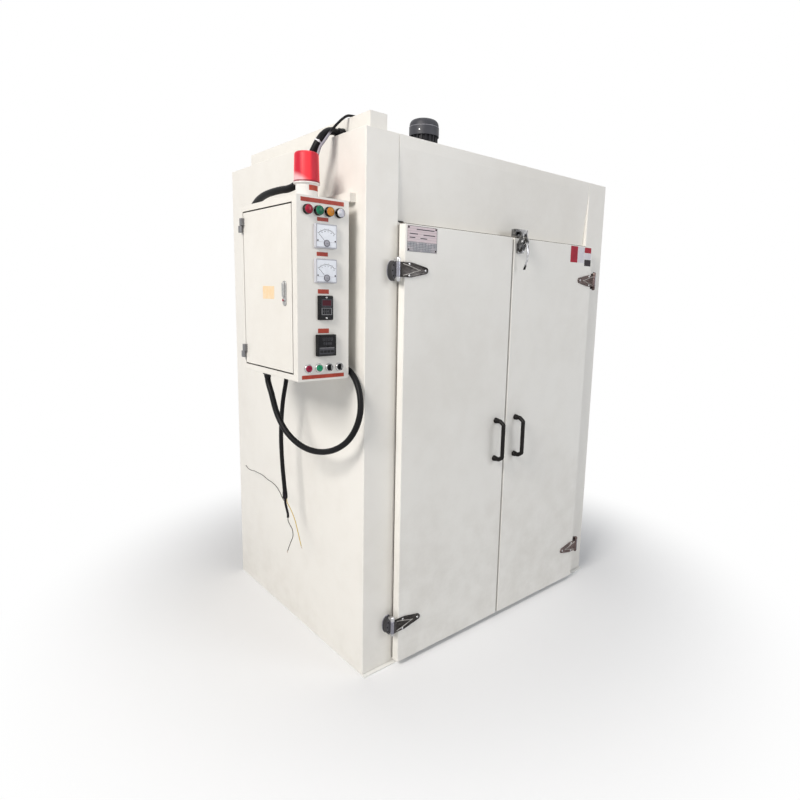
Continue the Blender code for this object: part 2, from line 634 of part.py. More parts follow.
def build_latch():
    """The chrome latch: strike on the header, base with its claw on the right door, and the lever."""
    x = LATCH_OFF_MIDDLE
    strike_low = HEADER_BOTTOM + SEAT
    strike_high = strike_low + STRIKE_HEIGHT
    strike_front = FRONT - STRIKE_REACH
    strike_right = x + STRIKE_OFF_LATCH + STRIKE_WIDTH / 2
    outline = [(strike_front + STRIKE_BAR / 2, strike_low), (FRONT + HEADER_LEAN - SEAT, strike_low)]
    lean = HEADER_LEAN * STRIKE_HEIGHT / (HEIGHT - HEADER_FLUSH - HEADER_BOTTOM)
    outline += [
        (FRONT + HEADER_LEAN - SEAT - lean, strike_high), (strike_front + STRIKE_BAR / 2, strike_high)]
    bracket_middle = strike_right - SEAT - STRIKE_BRACKET / 2
    strike = plate(
        "latch_strike", outline, STRIKE_BRACKET, (bracket_middle, 0, 0), "latch_chrome", SIDE_VIEW)
    combine(strike, box(
        "strike_bar", (strike_right - STRIKE_WIDTH, strike_front, strike_low - SEAT / 2),
        (strike_right, strike_front + STRIKE_BAR, strike_high + SEAT)))

    face = DOOR_FRONT - SEAT
    base_bottom = DOOR_TOP - LATCH_BASE_DROP - LATCH_BASE_HEIGHT
    half = LATCH_BASE_WIDTH / 2
    base = round_edges(box(
        "latch_base", (x - half, face - LATCH_BASE_THICKNESS, base_bottom),
        (x + half, face, base_bottom + LATCH_BASE_HEIGHT), "latch_chrome"))
    pivot_z = DOOR_TOP - LATCH_PIVOT_DROP
    pivot_y = DOOR_FRONT - LATCH_PIVOT_REACH
    claw_back = strike_front - LATCH_CLAW_CLEAR
    claw_front = claw_back - LATCH_CLAW_DEPTH
    claw_top = DOOR_TOP + LATCH_CLAW_RISE
    rim = LATCH_CHEEK_RIM
    inside_base = face - LATCH_BASE_THICKNESS / 2
    cheek = [
        (inside_base, base_bottom + SEAT), *reversed(arc((pivot_y, pivot_z), rim, 0.9 * pi, 1.4 * pi, 4)),
        (claw_front, claw_top), (claw_back, claw_top), (claw_back, pivot_z + rim),
        (inside_base, base_bottom + LATCH_BASE_HEIGHT - SEAT)]
    cheek_middle = half - SEAT - LATCH_CHEEK / 2
    for i, sign in enumerate((-1, 1)):
        place = (x + sign * cheek_middle, 0, 0)
        combine(base, plate(f"latch_cheek_{i}", cheek, LATCH_CHEEK, place, None, SIDE_VIEW))
    crossbar = cheek_middle + LATCH_CHEEK / 4
    combine(base, box(
        "latch_claw", (x - crossbar, claw_front + SEAT, claw_top - LATCH_CLAW_HEIGHT),
        (x + crossbar, claw_back - SEAT, claw_top - SEAT)))
    pin_start = (x - crossbar, pivot_y, pivot_z)
    combine(base, rod("latch_pin", pin_start, (1, 0, 0), 2 * crossbar, LATCH_PIN_RADIUS))

    steps = 10
    outer, inner = [], []
    for i in range(steps + 1):
        bow = LEVER_OFFSET + LEVER_BOW * sin(pi * i / steps)
        height = LEVER_RISE - (LEVER_RISE + LEVER_DROP) * i / steps
        outer.append((-bow, height))
        inner.append((LEVER_THICKNESS - bow, height))
    lever = plate(
        "latch_lever", outer + inner[::-1], LEVER_WIDTH, (x, pivot_y, pivot_z), "latch_chrome", SIDE_VIEW)
    eye_start = (x - LEVER_WIDTH / 2 - SEAT, pivot_y, pivot_z)
    combine(lever, rod("latch_eye", eye_start, (1, 0, 0), LEVER_WIDTH + 2 * SEAT, LEVER_EYE_RADIUS))
    bore_start = (x - LEVER_WIDTH, pivot_y, pivot_z)
    combine(lever, rod(
        "latch_bore", bore_start, (1, 0, 0), 2 * LEVER_WIDTH, LATCH_PIN_RADIUS + PIN_CLEARANCE),
        "DIFFERENCE")
    return base, lever, (x, pivot_y, pivot_z)


def build_control_box():
    """The sheet box with its front panel, side door, hinges, lock and the frame that carries it."""
    shell_front = BOX_FRONT + BOX_SHEET + SEAT
    shell = box(
        "control_box", (BOX_LEFT, shell_front, BOX_BOTTOM), (BOX_RIGHT, BOX_BACK, BOX_TOP),
        "cream_paint")
    round_edges(shell, 0.0015)
    combine(shell, box(
        "control_box_space", (BOX_LEFT + BOX_SHEET, shell_front - WALL, BOX_BOTTOM + BOX_SHEET),
        (BOX_RIGHT - BOX_SHEET, BOX_BACK - BOX_SHEET, BOX_TOP - BOX_SHEET)), "DIFFERENCE")
    door_way = (BOX_FRONT + BOX_RIM_FRONT, BOX_BACK - BOX_RIM_BACK)
    ends = (BOX_BOTTOM + BOX_RIM_ENDS, BOX_TOP - BOX_RIM_ENDS)
    combine(shell, box(
        "control_box_way", (BOX_LEFT - WALL, door_way[0], ends[0]),
        (BOX_LEFT + WALL, door_way[1], ends[1])), "DIFFERENCE")
    neck(shell, LOOP_ROOT, (0, 0, -1), LOOP_RADIUS)
    neck(shell, POWER_CABLE_ROOT, (0, 0, -1), POWER_CABLE_RADIUS)
    neck(shell, MOTOR_CABLE_ROOT, (0, 0, 1), MOTOR_CABLE_RADIUS)

    gap = BOX_DOOR_GAP
    door = box(
        "control_box_door", (BOX_LEFT, door_way[0] + gap, ends[0] + gap),
        (BOX_LEFT + BOX_DOOR_THICKNESS, door_way[1] - gap, ends[1] - gap), "cream_paint")
    half = BOX_HINGE_HEIGHT / 2
    outer = BOX_PIN_X - BOX_KNUCKLE_RADIUS * 0.8
    for i, z in enumerate((BOX_BOTTOM + BOX_HINGE_FROM_END, BOX_TOP - BOX_HINGE_FROM_END)):
        fixed = f"box_hinge_fixed_{i}"
        foot = (BOX_PIN_X, BOX_PIN_Y, z - half)
        combine(shell, box(
            fixed, (outer, BOX_PIN_Y, z - half),
            (BOX_LEFT + BOX_SHEET / 2, BOX_PIN_Y + BOX_HINGE_WIDTH, z - BOX_HINGE_GAP)))
        combine(shell, rod(
            fixed + "_knuckle", foot, (0, 0, 1), half - BOX_HINGE_GAP, BOX_KNUCKLE_RADIUS))
        combine(shell, rod(fixed + "_pin", foot, (0, 0, 1), BOX_HINGE_HEIGHT, BOX_PIN_RADIUS))
        moving = f"box_hinge_moving_{i}"
        combine(door, box(
            moving, (outer, BOX_PIN_Y - BOX_HINGE_WIDTH, z),
            (BOX_LEFT + BOX_SHEET / 2, BOX_PIN_Y - 0.5 * gap - BOX_HINGE_GAP, z + half)))
        combine(door, box(
            moving + "_arm", (outer, BOX_PIN_Y - BOX_HINGE_WIDTH, z), (BOX_PIN_X, BOX_PIN_Y, z + half)))
        head = (BOX_PIN_X, BOX_PIN_Y, z)
        combine(door, rod(moving + "_knuckle", head, (0, 0, 1), half, BOX_KNUCKLE_RADIUS))
        combine(door, rod(
            moving + "_bore", foot, (0, 0, 1), 2 * BOX_HINGE_HEIGHT, BOX_PIN_RADIUS + PIN_CLEARANCE),
            "DIFFERENCE")
    lock_y = BOX_FRONT + LOCK_FROM_FRONT
    lock_z = BOX_BOTTOM + LOCK_HEIGHT_ABOVE_BOTTOM
    lock = box(
        "control_box_lock", (BOX_LEFT - SEAT - LOCK_THICKNESS, lock_y - LOCK_WIDTH / 2,
                             lock_z - LOCK_HEIGHT / 2),
        (BOX_LEFT - SEAT, lock_y + LOCK_WIDTH / 2, lock_z + LOCK_HEIGHT / 2), "lock_grey")
    round_edges(lock, 0.0015)
    pivot("control_box_door_pivot", (BOX_PIN_X, BOX_PIN_Y, BOX_BOTTOM), [door, lock])

    rail_left, rail_right = BOX_RIGHT + SEAT, LEFT - SEAT
    rail_back = BOX_BACK - RAIL_BACK
    lower = (BOX_BOTTOM + LOWER_RAIL_RISE, BOX_BOTTOM + LOWER_RAIL_RISE + LOWER_RAIL_HEIGHT)
    lower_front = BOX_FRONT + LOWER_RAIL_SETBACK
    upper = BOX_TOP + UPPER_RAIL_RISE
    frame = box(
        "box_mounting_frame", (rail_right - UPPER_RAIL_WIDTH, BOX_FRONT + UPPER_RAIL_SETBACK, upper),
        (rail_right, rail_back, upper + UPPER_RAIL_HEIGHT), "cream_paint")
    combine(frame, box(
        "lower_rail", (rail_left, lower_front, lower[0]), (rail_right, rail_back, lower[1])))
    for i, strut_front in enumerate((lower_front + SEAT, rail_back - SEAT - STRUT_WIDTH)):
        combine(frame, box(
            f"rail_strut_{i}", (rail_left + SEAT, strut_front, lower[0] + SEAT),
            (rail_right - SEAT, strut_front + STRUT_WIDTH, upper + UPPER_RAIL_HEIGHT / 2)))
    rail_middle = (rail_left + rail_right) / 2
    neck(frame, (rail_middle, lower_front, sum(lower) / 2), (0, -1, 0), LOOP_RADIUS - GLAND_WALL / 2)


def panel_rod(name, x, z, reach, radius, finish=None, depth=0.0, sides=24):
    """A round fitting on the panel: how far it stands out, and how deep it starts behind the face."""
    return rod(name, (x, BOX_FRONT + depth, z), (0, -1, 0), reach + depth, radius, finish, sides)


def build_instrument_panel():
    """The panel with its lamps and bezels, the instruments, two buttons and two selectors."""
    panel = box(
        "instrument_panel", (BOX_LEFT, BOX_FRONT, BOX_BOTTOM),
        (BOX_RIGHT, BOX_FRONT + BOX_SHEET, BOX_TOP), "cream_paint")
    places = [BOX_MIDDLE + FITTING_PITCH * (i - 1.5) for i in range(4)]
    inside = BOX_SHEET / 2
    button_z = BOX_BOTTOM + BUTTON_SHARE * BOX_HEIGHT
    for i, x in enumerate(places):
        lamp_z = BOX_BOTTOM + LAMP_SHARE * BOX_HEIGHT
        combine(panel, panel_rod(f"lamp_{i}", x, lamp_z, LAMP_REACH, LAMP_RADIUS, None, inside))
        combine(panel, panel_rod(f"bezel_{i}", x, button_z, BEZEL_REACH, BEZEL_RADIUS, None, inside))
        combine(panel, panel_rod(
            f"bezel_bore_{i}", x, button_z, 2 * BEZEL_REACH, BUTTON_HOLE, None, WALL), "DIFFERENCE")
    for colour, x in zip(("red", "green"), places):
        button = panel_rod(
            colour + "_button", x, button_z, BUTTON_REACH, BUTTON_RADIUS, "button_" + colour, BUTTON_STEM)
        pivot(colour + "_button_slide", (x, BOX_FRONT, button_z), [button])
    for name, x in zip(("left_selector", "right_selector"), places[2:]):
        knob = panel_rod(name, x, button_z, SELECTOR_REACH, BUTTON_RADIUS, "black_plastic", BUTTON_STEM)
        half = BUTTON_RADIUS * 0.96
        combine(knob, box(
            name + "_bar", (x - SELECTOR_BAR / 2, BOX_FRONT - SELECTOR_BAR_REACH, button_z - half),
            (x + SELECTOR_BAR / 2, BOX_FRONT - SELECTOR_REACH / 2, button_z + half)))
        pivot(name + "_pivot", (x, BOX_FRONT, button_z), [knob])

    face = BOX_FRONT - SEAT
    middle = BOX_MIDDLE + METER_OFFSET
    for name, share in (("upper_meter", UPPER_METER_SHARE), ("lower_meter", LOWER_METER_SHARE)):
        z = BOX_BOTTOM + share * BOX_HEIGHT
        meter = box(
            name, (middle - METER_WIDTH / 2, face - METER_REACH, z - METER_HEIGHT / 2),
            (middle + METER_WIDTH / 2, face, z + METER_HEIGHT / 2), "meter_white")
        round_edges(meter)
        combine(meter, rod(
            name + "_cap", (middle, face - METER_REACH / 2, z - METER_PIVOT_DROP), (0, -1, 0),
            METER_REACH / 2 + METER_PIVOT_REACH, METER_PIVOT_RADIUS))
    sizes = (
        ("timer", TIMER_WIDTH, TIMER_HEIGHT, TIMER_SHARE, TIMER_REACH),
        ("temperature_controller", CONTROLLER_SIZE, CONTROLLER_SIZE, CONTROLLER_SHARE,
         CONTROLLER_REACH))
    for name, width, height, share, reach in sizes:
        z = BOX_BOTTOM + share * BOX_HEIGHT
        round_edges(box(
            name, (middle - width / 2, face - reach, z - height / 2),
            (middle + width / 2, face, z + height / 2), "black_plastic"))


def build_beacon():
    """The beacon's white foot and its red lens."""
    place = (BOX_MIDDLE + BEACON_OFF_MIDDLE, BOX_FRONT + BEACON_FROM_FRONT, BOX_TOP + SEAT)
    rim_bottom = BEACON_BASE_HEIGHT - BEACON_RIM_HEIGHT
    turned("beacon_base", [
        (0, BEACON_BASE_HEIGHT), (BEACON_RIM_RADIUS, BEACON_BASE_HEIGHT),
        (BEACON_RIM_RADIUS, rim_bottom), (BEACON_BASE_RADIUS, rim_bottom),
        (BEACON_BASE_RADIUS, 0), (0, 0)], place, "beacon_white")
    lens_bottom = BEACON_BASE_HEIGHT + SEAT
    top = lens_bottom + BEACON_LENS_HEIGHT
    corner = (BEACON_LENS_TOP_RADIUS - BEACON_LENS_ROUND, top - BEACON_LENS_ROUND)
    shoulder = arc(corner, BEACON_LENS_ROUND, pi / 2, 0, 4)
    turned("beacon_lens", [
        (0, top), *shoulder, (BEACON_LENS_RADIUS, lens_bottom), (0, lens_bottom)], place, "beacon_red")


def build_roof():
    """The wire trunking and the fan motor with its cowl."""
    foot = HEIGHT + SEAT
    trunking_front = FRONT + TRUNKING_FROM_FRONT
    trunking = box(
        "roof_trunking", (TRUNKING_LEFT, trunking_front, foot),
        (TRUNKING_LEFT + TRUNKING_WIDTH, trunking_front + TRUNKING_LENGTH, HEIGHT + TRUNKING_HEIGHT),
        "cream_paint")
    neck(trunking, TRUNKING_ROOT, (-1, 0, 0), ROOF_CONDUIT_RADIUS - GLAND_WALL / 2)

    half = MOTOR_PLATE / 2
    plate_top = foot + MOTOR_PLATE_THICKNESS
    motor = box("fan_motor", (-half, -half, foot), (half, half, plate_top), "motor_paint")
    flange_start = plate_top - MOTOR_PLATE_THICKNESS / 2
    combine(motor, rod(
        "motor_flange", (0, 0, flange_start), (0, 0, 1), plate_top + MOTOR_FLANGE_HEIGHT - flange_start,
        MOTOR_FLANGE_RADIUS, sides=32))
    fins = []
    for i in range(MOTOR_FINS):
        for share, radius in ((0.0, MOTOR_BODY_RADIUS), (0.35, MOTOR_BODY_RADIUS),
                              (0.45, MOTOR_FIN_ROOT), (0.90, MOTOR_FIN_ROOT)):
            angle = tau * (i + share) / MOTOR_FINS
            fins.append((radius * cos(angle), radius * sin(angle)))
    body_height = MOTOR_BODY_HEIGHT + MOTOR_FLANGE_HEIGHT / 2
    body_middle = plate_top + MOTOR_FLANGE_HEIGHT / 2 + body_height / 2
    combine(motor, plate("motor_fins", fins, body_height, (0, 0, body_middle)))
    terminal_z = plate_top + TERMINAL_RISE
    combine(motor, box(
        "motor_terminals", (-TERMINAL_REACH, -TERMINAL_WIDTH / 2, terminal_z - TERMINAL_HEIGHT / 2),
        (0, TERMINAL_WIDTH / 2, terminal_z + TERMINAL_HEIGHT / 2)))
    neck(motor, MOTOR_CABLE_FOOT, (-1, 0, 0), MOTOR_CABLE_RADIUS)

    cowl_foot = plate_top + MOTOR_FLANGE_HEIGHT + MOTOR_BODY_HEIGHT - COWL_OVERLAP
    ledge = COWL_OVERLAP + SEAT
    dome = [
        (COWL_FLAT_RADIUS + (COWL_CROWN_RADIUS - COWL_FLAT_RADIUS) * across,
         COWL_HEIGHT - COWL_DOME * (1 - up))
        for across, up in arc((0, 0), 1, pi / 2, 0, 4)]
    turned("motor_cowl", [
        (0, COWL_HEIGHT), *dome, (COWL_CROWN_RADIUS, COWL_SHOULDER),
        (COWL_RADIUS, COWL_SHOULDER - COWL_WALL), (COWL_RADIUS, 0), (COWL_RADIUS - COWL_WALL, 0),
        (COWL_RADIUS - COWL_WALL, ledge), (0, ledge)],
        (0, 0, cowl_foot), "motor_paint")


def led(root, along, clear=0.0):
    """A cord's first two points: at a face, or clear of it by a neck's length, then straight on."""
    start = root + Vector(along) * (clear + SEAT)
    return [start, start + Vector(along) * LEAD]


def offsets(corner, *places):
    """Points given as offsets from a corner."""
    return [corner + Vector(place) for place in places]


def build_conduits():
    """The two conduits and the gland on the wall."""
    wall_gland_length = GLAND_LENGTH + GLAND_WALL
    rod("wall_gland", WALL_GLAND_ROOT - Vector((SEAT, 0, 0)), (-1, 0, 0), wall_gland_length,
        ROOF_CONDUIT_RADIUS + GLAND_WALL, "black_plastic")
    cord("roof_conduit", [
        *led(WALL_GLAND_ROOT, (-1, 0, 0), wall_gland_length + SEAT),
        *offsets(
            ROOF_CORNER, (-0.085, 0.664, -0.264), (-0.121, 0.616, -0.238), (-0.138, 0.540, -0.209),
            (-0.142, 0.460, -0.192), (-0.138, 0.390, -0.186), (-0.131, 0.345, -0.184),
            (-0.123, 0.303, -0.183), (-0.114, 0.268, -0.173), (-0.103, 0.240, -0.146),
            (-0.091, 0.219, -0.106), (-0.082, 0.198, -0.062), (-0.071, 0.1865, -0.034),
            (-0.052, 0.1845, -0.008), (-0.027, 0.190, 0.009), (-0.0015, 0.198, 0.0155)),
        *reversed(led(TRUNKING_ROOT, (-1, 0, 0), GLAND_LENGTH))],
        ROOF_CONDUIT_RADIUS, "cord_black", 1.2)
    lower_rail_z = BOX_BOTTOM + LOWER_RAIL_RISE + LOWER_RAIL_HEIGHT / 2
    rail_face = Vector(((BOX_RIGHT + LEFT) / 2, BOX_FRONT + LOWER_RAIL_SETBACK, lower_rail_z))
    cord("loop_conduit", [
        *led(LOOP_ROOT, (0, 0, -1), GLAND_LENGTH),
        *offsets(
            BOX_CORNER, (0.067, 0.335, -0.095), (0.073, 0.300, -0.172), (0.081, 0.257, -0.222),
            (0.096, 0.194, -0.261), (0.113, 0.130, -0.277), (0.131, 0.075, -0.276),
            (0.151, 0.016, -0.257), (0.171, -0.036, -0.217), (0.187, -0.062, -0.169),
            (0.200, -0.068, -0.118), (0.208, -0.057, -0.065), (0.213, -0.023, -0.010),
            (0.215, 0.023, 0.021)),
        *reversed(led(rail_face, (0, -1, 0), GLAND_LENGTH))],
        LOOP_RADIUS, "cord_black", 1.6)


def build_cables():
    """The motor cable, and the power cable with its core and bare wires."""
    cord("motor_cable", [
        *led(MOTOR_CABLE_ROOT, (0, 0, 1), GLAND_LENGTH),
        *offsets(
            ROOF_CORNER, (-0.082, 0.198, -0.180), (-0.084, 0.184, -0.130), (-0.0847, 0.167, -0.083),
            (-0.0792, 0.167, -0.066), (-0.0736, 0.167, -0.053), (-0.061, 0.167, -0.036),
            (-0.046, 0.167, -0.015), (-0.0286, 0.167, 0.009), (-0.006, 0.167, 0.034),
            (0.0145, 0.167, 0.054), (0.035, 0.167, 0.0685), (0.060, 0.169, 0.073),
            (0.090, 0.173, 0.0735), (0.120, 0.183, 0.072), (0.150, 0.200, 0.054),
            (0.185, 0.232, 0.026), (0.235, 0.278, 0.012), (0.295, 0.338, 0.008),
            (0.375, 0.420, 0.009), (0.450, 0.498, 0.030), (0.510, 0.540, 0.078)),
        *reversed(led(MOTOR_CABLE_FOOT, (-1, 0, 0), GLAND_LENGTH))],
        MOTOR_CABLE_RADIUS, "cord_black", 3.0)
    cord("power_cable", [
        *led(POWER_CABLE_ROOT, (0, 0, -1), GLAND_LENGTH),
        *offsets(
            BOX_CORNER, (0.136, 0.354, -0.062), (0.136, 0.377, -0.127), (0.136, 0.393, -0.204),
            (0.136, 0.400, -0.271), (0.136, 0.398, -0.351), (0.136, 0.389, -0.430),
            (0.136, 0.378, -0.492)),
        *reversed(led(SHEATH_FOOT, (0, 0, 1)))],
        POWER_CABLE_RADIUS, "cord_black")
    cord("cable_core", [
        *led(SHEATH_FOOT, (0, 0, -1)), *offsets(BOX_CORNER, (0.136, 0.363, -0.579)),
        *reversed(led(CORE_FOOT, (0, 0, 1)))],
        CABLE_CORE_RADIUS, "cord_black")
    cord("dark_wire", [
        *led(CORE_FOOT, (0, 0, -1)),
        *offsets(
            BOX_CORNER, (0.136, 0.335, -0.642), (0.136, 0.315, -0.656), (0.136, 0.310, -0.677),
            (0.136, 0.329, -0.713), (0.136, 0.347, -0.743), (0.136, 0.357, -0.761))],
        WIRE_RADIUS, "wire_grey")
    cord("yellow_wire", [
        *led(SHEATH_FOOT + Vector((0.0055, -0.0040, 0)), (0, 0, -1)),
        *offsets(
            BOX_CORNER, (0.145, 0.349, -0.577), (0.147, 0.315, -0.615), (0.146, 0.286, -0.662),
            (0.143, 0.256, -0.708))],
        WIRE_RADIUS, "wire_yellow")
    cord("grey_wire", [
        *led(SHEATH_FOOT + Vector((0, 0.0067, 0)), (0, 0, -1)),
        *offsets(
            BOX_CORNER, (0.137, 0.391, -0.552), (0.139, 0.421, -0.533), (0.143, 0.459, -0.519),
            (0.148, 0.509, -0.514), (0.156, 0.569, -0.518), (0.163, 0.631, -0.517),
            (0.176, 0.743, -0.528), (0.188, 0.854, -0.541), (0.191, 0.881, -0.536))],
        WIRE_RADIUS, "wire_grey", 4.0)


clear_scene()
PARTS = new_collection("trolley_oven")
TOOLS = new_collection("cutters")
build_cabinet()
for door_word, door_side in (("left", -1), ("right", 1)):
    carried = build_door(door_word, door_side)
    carried += [build_hinge(door_word, level, door_side) for level in HINGE_HEIGHTS]
    carried.append(build_handle(door_word, door_side))
    if door_side == 1:
        latch_base, latch_lever, lever_axis = build_latch()
        pivot("latch_lever_pivot", lever_axis, [latch_lever])
        carried.append(latch_base)
    pivot(door_word + "_door_pivot", (door_side * PIN_X, PIN_Y, DOOR_BOTTOM), carried)
build_control_box()
build_instrument_panel()
build_beacon()
build_roof()
build_conduits()
build_cables()
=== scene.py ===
"""Looks of the trolley oven: camera, light, cords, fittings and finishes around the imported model.

Places in the world are in metres, +Z up, with the oven's front towards -Y. A fitting is drawn in
millimetres, its first axis across, its second up and its third out of the surface, and is then stood in
the world, facing out of one side of the oven.
"""
from math import cos, pi, radians, sin, tau

import bmesh
import bpy
import numpy as np
from mathutils import Matrix, Vector


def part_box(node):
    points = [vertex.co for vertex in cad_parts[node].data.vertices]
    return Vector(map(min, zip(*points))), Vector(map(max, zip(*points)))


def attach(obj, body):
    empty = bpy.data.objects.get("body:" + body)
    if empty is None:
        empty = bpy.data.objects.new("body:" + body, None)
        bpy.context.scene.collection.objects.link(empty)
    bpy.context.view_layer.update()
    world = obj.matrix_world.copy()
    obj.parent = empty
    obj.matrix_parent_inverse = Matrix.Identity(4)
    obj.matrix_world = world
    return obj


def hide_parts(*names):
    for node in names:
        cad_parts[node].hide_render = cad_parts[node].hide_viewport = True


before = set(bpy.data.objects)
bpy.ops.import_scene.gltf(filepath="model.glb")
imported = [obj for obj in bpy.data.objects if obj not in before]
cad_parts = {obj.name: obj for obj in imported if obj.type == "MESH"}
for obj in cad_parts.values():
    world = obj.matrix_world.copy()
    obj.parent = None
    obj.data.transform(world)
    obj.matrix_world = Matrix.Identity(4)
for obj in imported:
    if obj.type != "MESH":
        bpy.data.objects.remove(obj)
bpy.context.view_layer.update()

MM = 0.001


def middle(node):
    """The middle of a node's box: half the sum of its two corners."""
    low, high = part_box(node)
    return (np.array(low) + np.array(high)) / 2


# Camera, as solved from the photograph: its place, the directions of its own axes, and its lens
CAMERA_PLACE = (-1.8555, -2.1906, 1.4530)
CAMERA_RIGHT = (0.75254206, -0.65805141, 0.02547133)
CAMERA_UP = (0.08539039, 0.13585735, 0.98704167)
CAMERA_BACK = (-0.65298463, -0.74061537, 0.15842964)
CAMERA_LENS = 25.659
CAMERA_SHIFT = (-0.0368, -0.0169)

# Light: the world's strength and tone, the rays that see it as white, the floor's side and fade in metres,
# and each lamp's name, place, aim, side, watts and colour
AMBIENT = 0.22
AMBIENT_TONE = (0.97, 0.985, 1.0)
SEEN_RAYS = ("Camera", "Glossy", "Transmission")
FLOOR_SIZE = 40.0
FLOOR_NEAR = 0.8
FLOOR_FAR = 1.9
LAMPS = (
    ("key", (-5.1, -1.75, 4.4), (-0.7, 0, 1.0), 2.1, 276, (1.0, 0.955, 0.90)),
    ("fill", (2.0, -4.7, 2.8), (0.3, -0.5, 1.1), 2.2, 60, (0.95, 0.965, 1.0)),
    ("top", (0.0, -0.5, 5.0), (0, 0, 2.0), 3.0, 14, (1.0, 1.0, 1.0)),
)

# Places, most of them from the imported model
PANEL_LOW, PANEL_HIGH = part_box("instrument_panel")
CABINET_LOW, CABINET_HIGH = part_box("left_wall")
DOOR_LOW, DOOR_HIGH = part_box("right_door")
BEACON_LOW, BEACON_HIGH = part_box("beacon_lens")
LATCH_LOW, LATCH_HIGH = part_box("latch_base")
BOX_CORNER = np.array((PANEL_LOW.x, PANEL_HIGH.y - 0.002, PANEL_LOW.z))
BOX_SIDE, BOX_FACE, BOX_BOTTOM = BOX_CORNER
BOX_HEIGHT = 0.600
BOX_MIDDLE = (PANEL_LOW.x + PANEL_HIGH.x) / 2
CONTROL_PITCH = 0.040
CONTROL_X = [BOX_MIDDLE + CONTROL_PITCH * (i - 1.5) for i in range(4)]
LAMP_Z = BOX_BOTTOM + 0.9275 * BOX_HEIGHT
BUTTON_Z = BOX_BOTTOM + 0.0717 * BOX_HEIGHT
METER_MIDDLE = BOX_MIDDLE + 0.004
BEACON_CENTRE = middle("beacon_lens")
ROOF = CABINET_HIGH.z
ROOF_CORNER = np.array((CABINET_LOW.x, CABINET_LOW.y, ROOF))
DOOR_FACE = DOOR_LOW.y
HINGE_PIN_X, HINGE_PIN_Y = 0.6035, -0.590
LEAF_DROP = 0.0045
HANDLE_X, HANDLE_Z = 0.064, 0.848
LATCH_PIVOT = np.array((middle("latch_base")[0], -0.620, 1.680))
LATCH_PLATE = 0.0120
FORM_PLATE = np.array((-0.49675, DOOR_FACE, 1.648))
HEADER_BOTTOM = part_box("header_panel")[0].z
HEADER_FOOT_Y = -0.532
HEADER_END_X = -0.5755
TIE_HEIGHT = 1.966
SEAT = 0.0003
SIDES = (("left", -1), ("right", 1))

# Cords: radii, necks and ends, as in the part's source
LEAD = 0.012
NECK = 0.020
GLAND_WALL = 0.005
LOOP_RADIUS = 0.011
CONDUIT_RADIUS = 0.013
MOTOR_CABLE_RADIUS = 0.0045
POWER_CABLE_RADIUS = 0.0085
CORE_RADIUS = 0.0048
WIRE_RADIUS = 0.0015
LOOP_ROOT = BOX_CORNER + (0.066, 0.365, 0)
POWER_ROOT = BOX_CORNER + (0.136, 0.346, 0)
MOTOR_CABLE_ROOT = BOX_CORNER + (0.154, 0.159, BOX_HEIGHT)
MOTOR_CABLE_FOOT = np.array((-0.105, 0, ROOF + 0.105))
WALL_GLAND_ROOT = ROOF_CORNER + (0, 0.680, -0.272)
TRUNKING_ROOT = ROOF_CORNER + (0.043, 0.205, 0.016)
SHEATH_FOOT = BOX_CORNER + (0.136, 0.373, -0.541)
CORE_FOOT = BOX_CORNER + (0.136, 0.351, -0.616)
RAIL_FACE = np.array((-0.735, BOX_FACE + 0.109, BOX_BOTTOM + 0.028))

# Route points between the ends, in metres: the first and third from the roof's corner over the left wall's
# front, the others from the control box's lower front left corner
ROOF_CONDUIT_POINTS = (
    (-0.085, 0.664, -0.264), (-0.121, 0.616, -0.238), (-0.138, 0.540, -0.209), (-0.142, 0.460, -0.192),
    (-0.138, 0.390, -0.186), (-0.131, 0.345, -0.184), (-0.123, 0.303, -0.183), (-0.114, 0.268, -0.173),
    (-0.103, 0.240, -0.146), (-0.091, 0.219, -0.106), (-0.082, 0.198, -0.062), (-0.071, 0.1865, -0.034),
    (-0.052, 0.1845, -0.008), (-0.027, 0.190, 0.009), (-0.0015, 0.198, 0.0155))
LOOP_CONDUIT_POINTS = (
    (0.067, 0.335, -0.095), (0.073, 0.300, -0.172), (0.081, 0.257, -0.222), (0.096, 0.194, -0.261),
    (0.113, 0.130, -0.277), (0.131, 0.075, -0.276), (0.151, 0.016, -0.257), (0.171, -0.036, -0.217),
    (0.187, -0.062, -0.169), (0.200, -0.068, -0.118), (0.208, -0.057, -0.065), (0.213, -0.023, -0.010),
    (0.215, 0.023, 0.021))
MOTOR_CABLE_POINTS = (
    (-0.082, 0.198, -0.180), (-0.084, 0.184, -0.130), (-0.0847, 0.167, -0.083), (-0.0792, 0.167, -0.066),
    (-0.0736, 0.167, -0.053), (-0.061, 0.167, -0.036), (-0.046, 0.167, -0.015), (-0.0286, 0.167, 0.009),
    (-0.006, 0.167, 0.034), (0.0145, 0.167, 0.054), (0.035, 0.167, 0.0685), (0.060, 0.169, 0.073),
    (0.090, 0.173, 0.0735), (0.120, 0.183, 0.072), (0.150, 0.200, 0.054), (0.185, 0.232, 0.026),
    (0.235, 0.278, 0.012), (0.295, 0.338, 0.008), (0.375, 0.420, 0.009), (0.450, 0.498, 0.030),
    (0.510, 0.540, 0.078))
POWER_CABLE_POINTS = (
    (0.136, 0.354, -0.062), (0.136, 0.377, -0.127), (0.136, 0.393, -0.204), (0.136, 0.400, -0.271),
    (0.136, 0.398, -0.351), (0.136, 0.389, -0.430), (0.136, 0.378, -0.492))
CABLE_CORE_POINTS = ((0.136, 0.363, -0.579),)
DARK_WIRE_POINTS = (
    (0.136, 0.335, -0.642), (0.136, 0.315, -0.656), (0.136, 0.310, -0.677), (0.136, 0.329, -0.713),
    (0.136, 0.347, -0.743), (0.136, 0.357, -0.761))
YELLOW_WIRE_POINTS = (
    (0.145, 0.349, -0.577), (0.147, 0.315, -0.615), (0.146, 0.286, -0.662), (0.143, 0.256, -0.708))
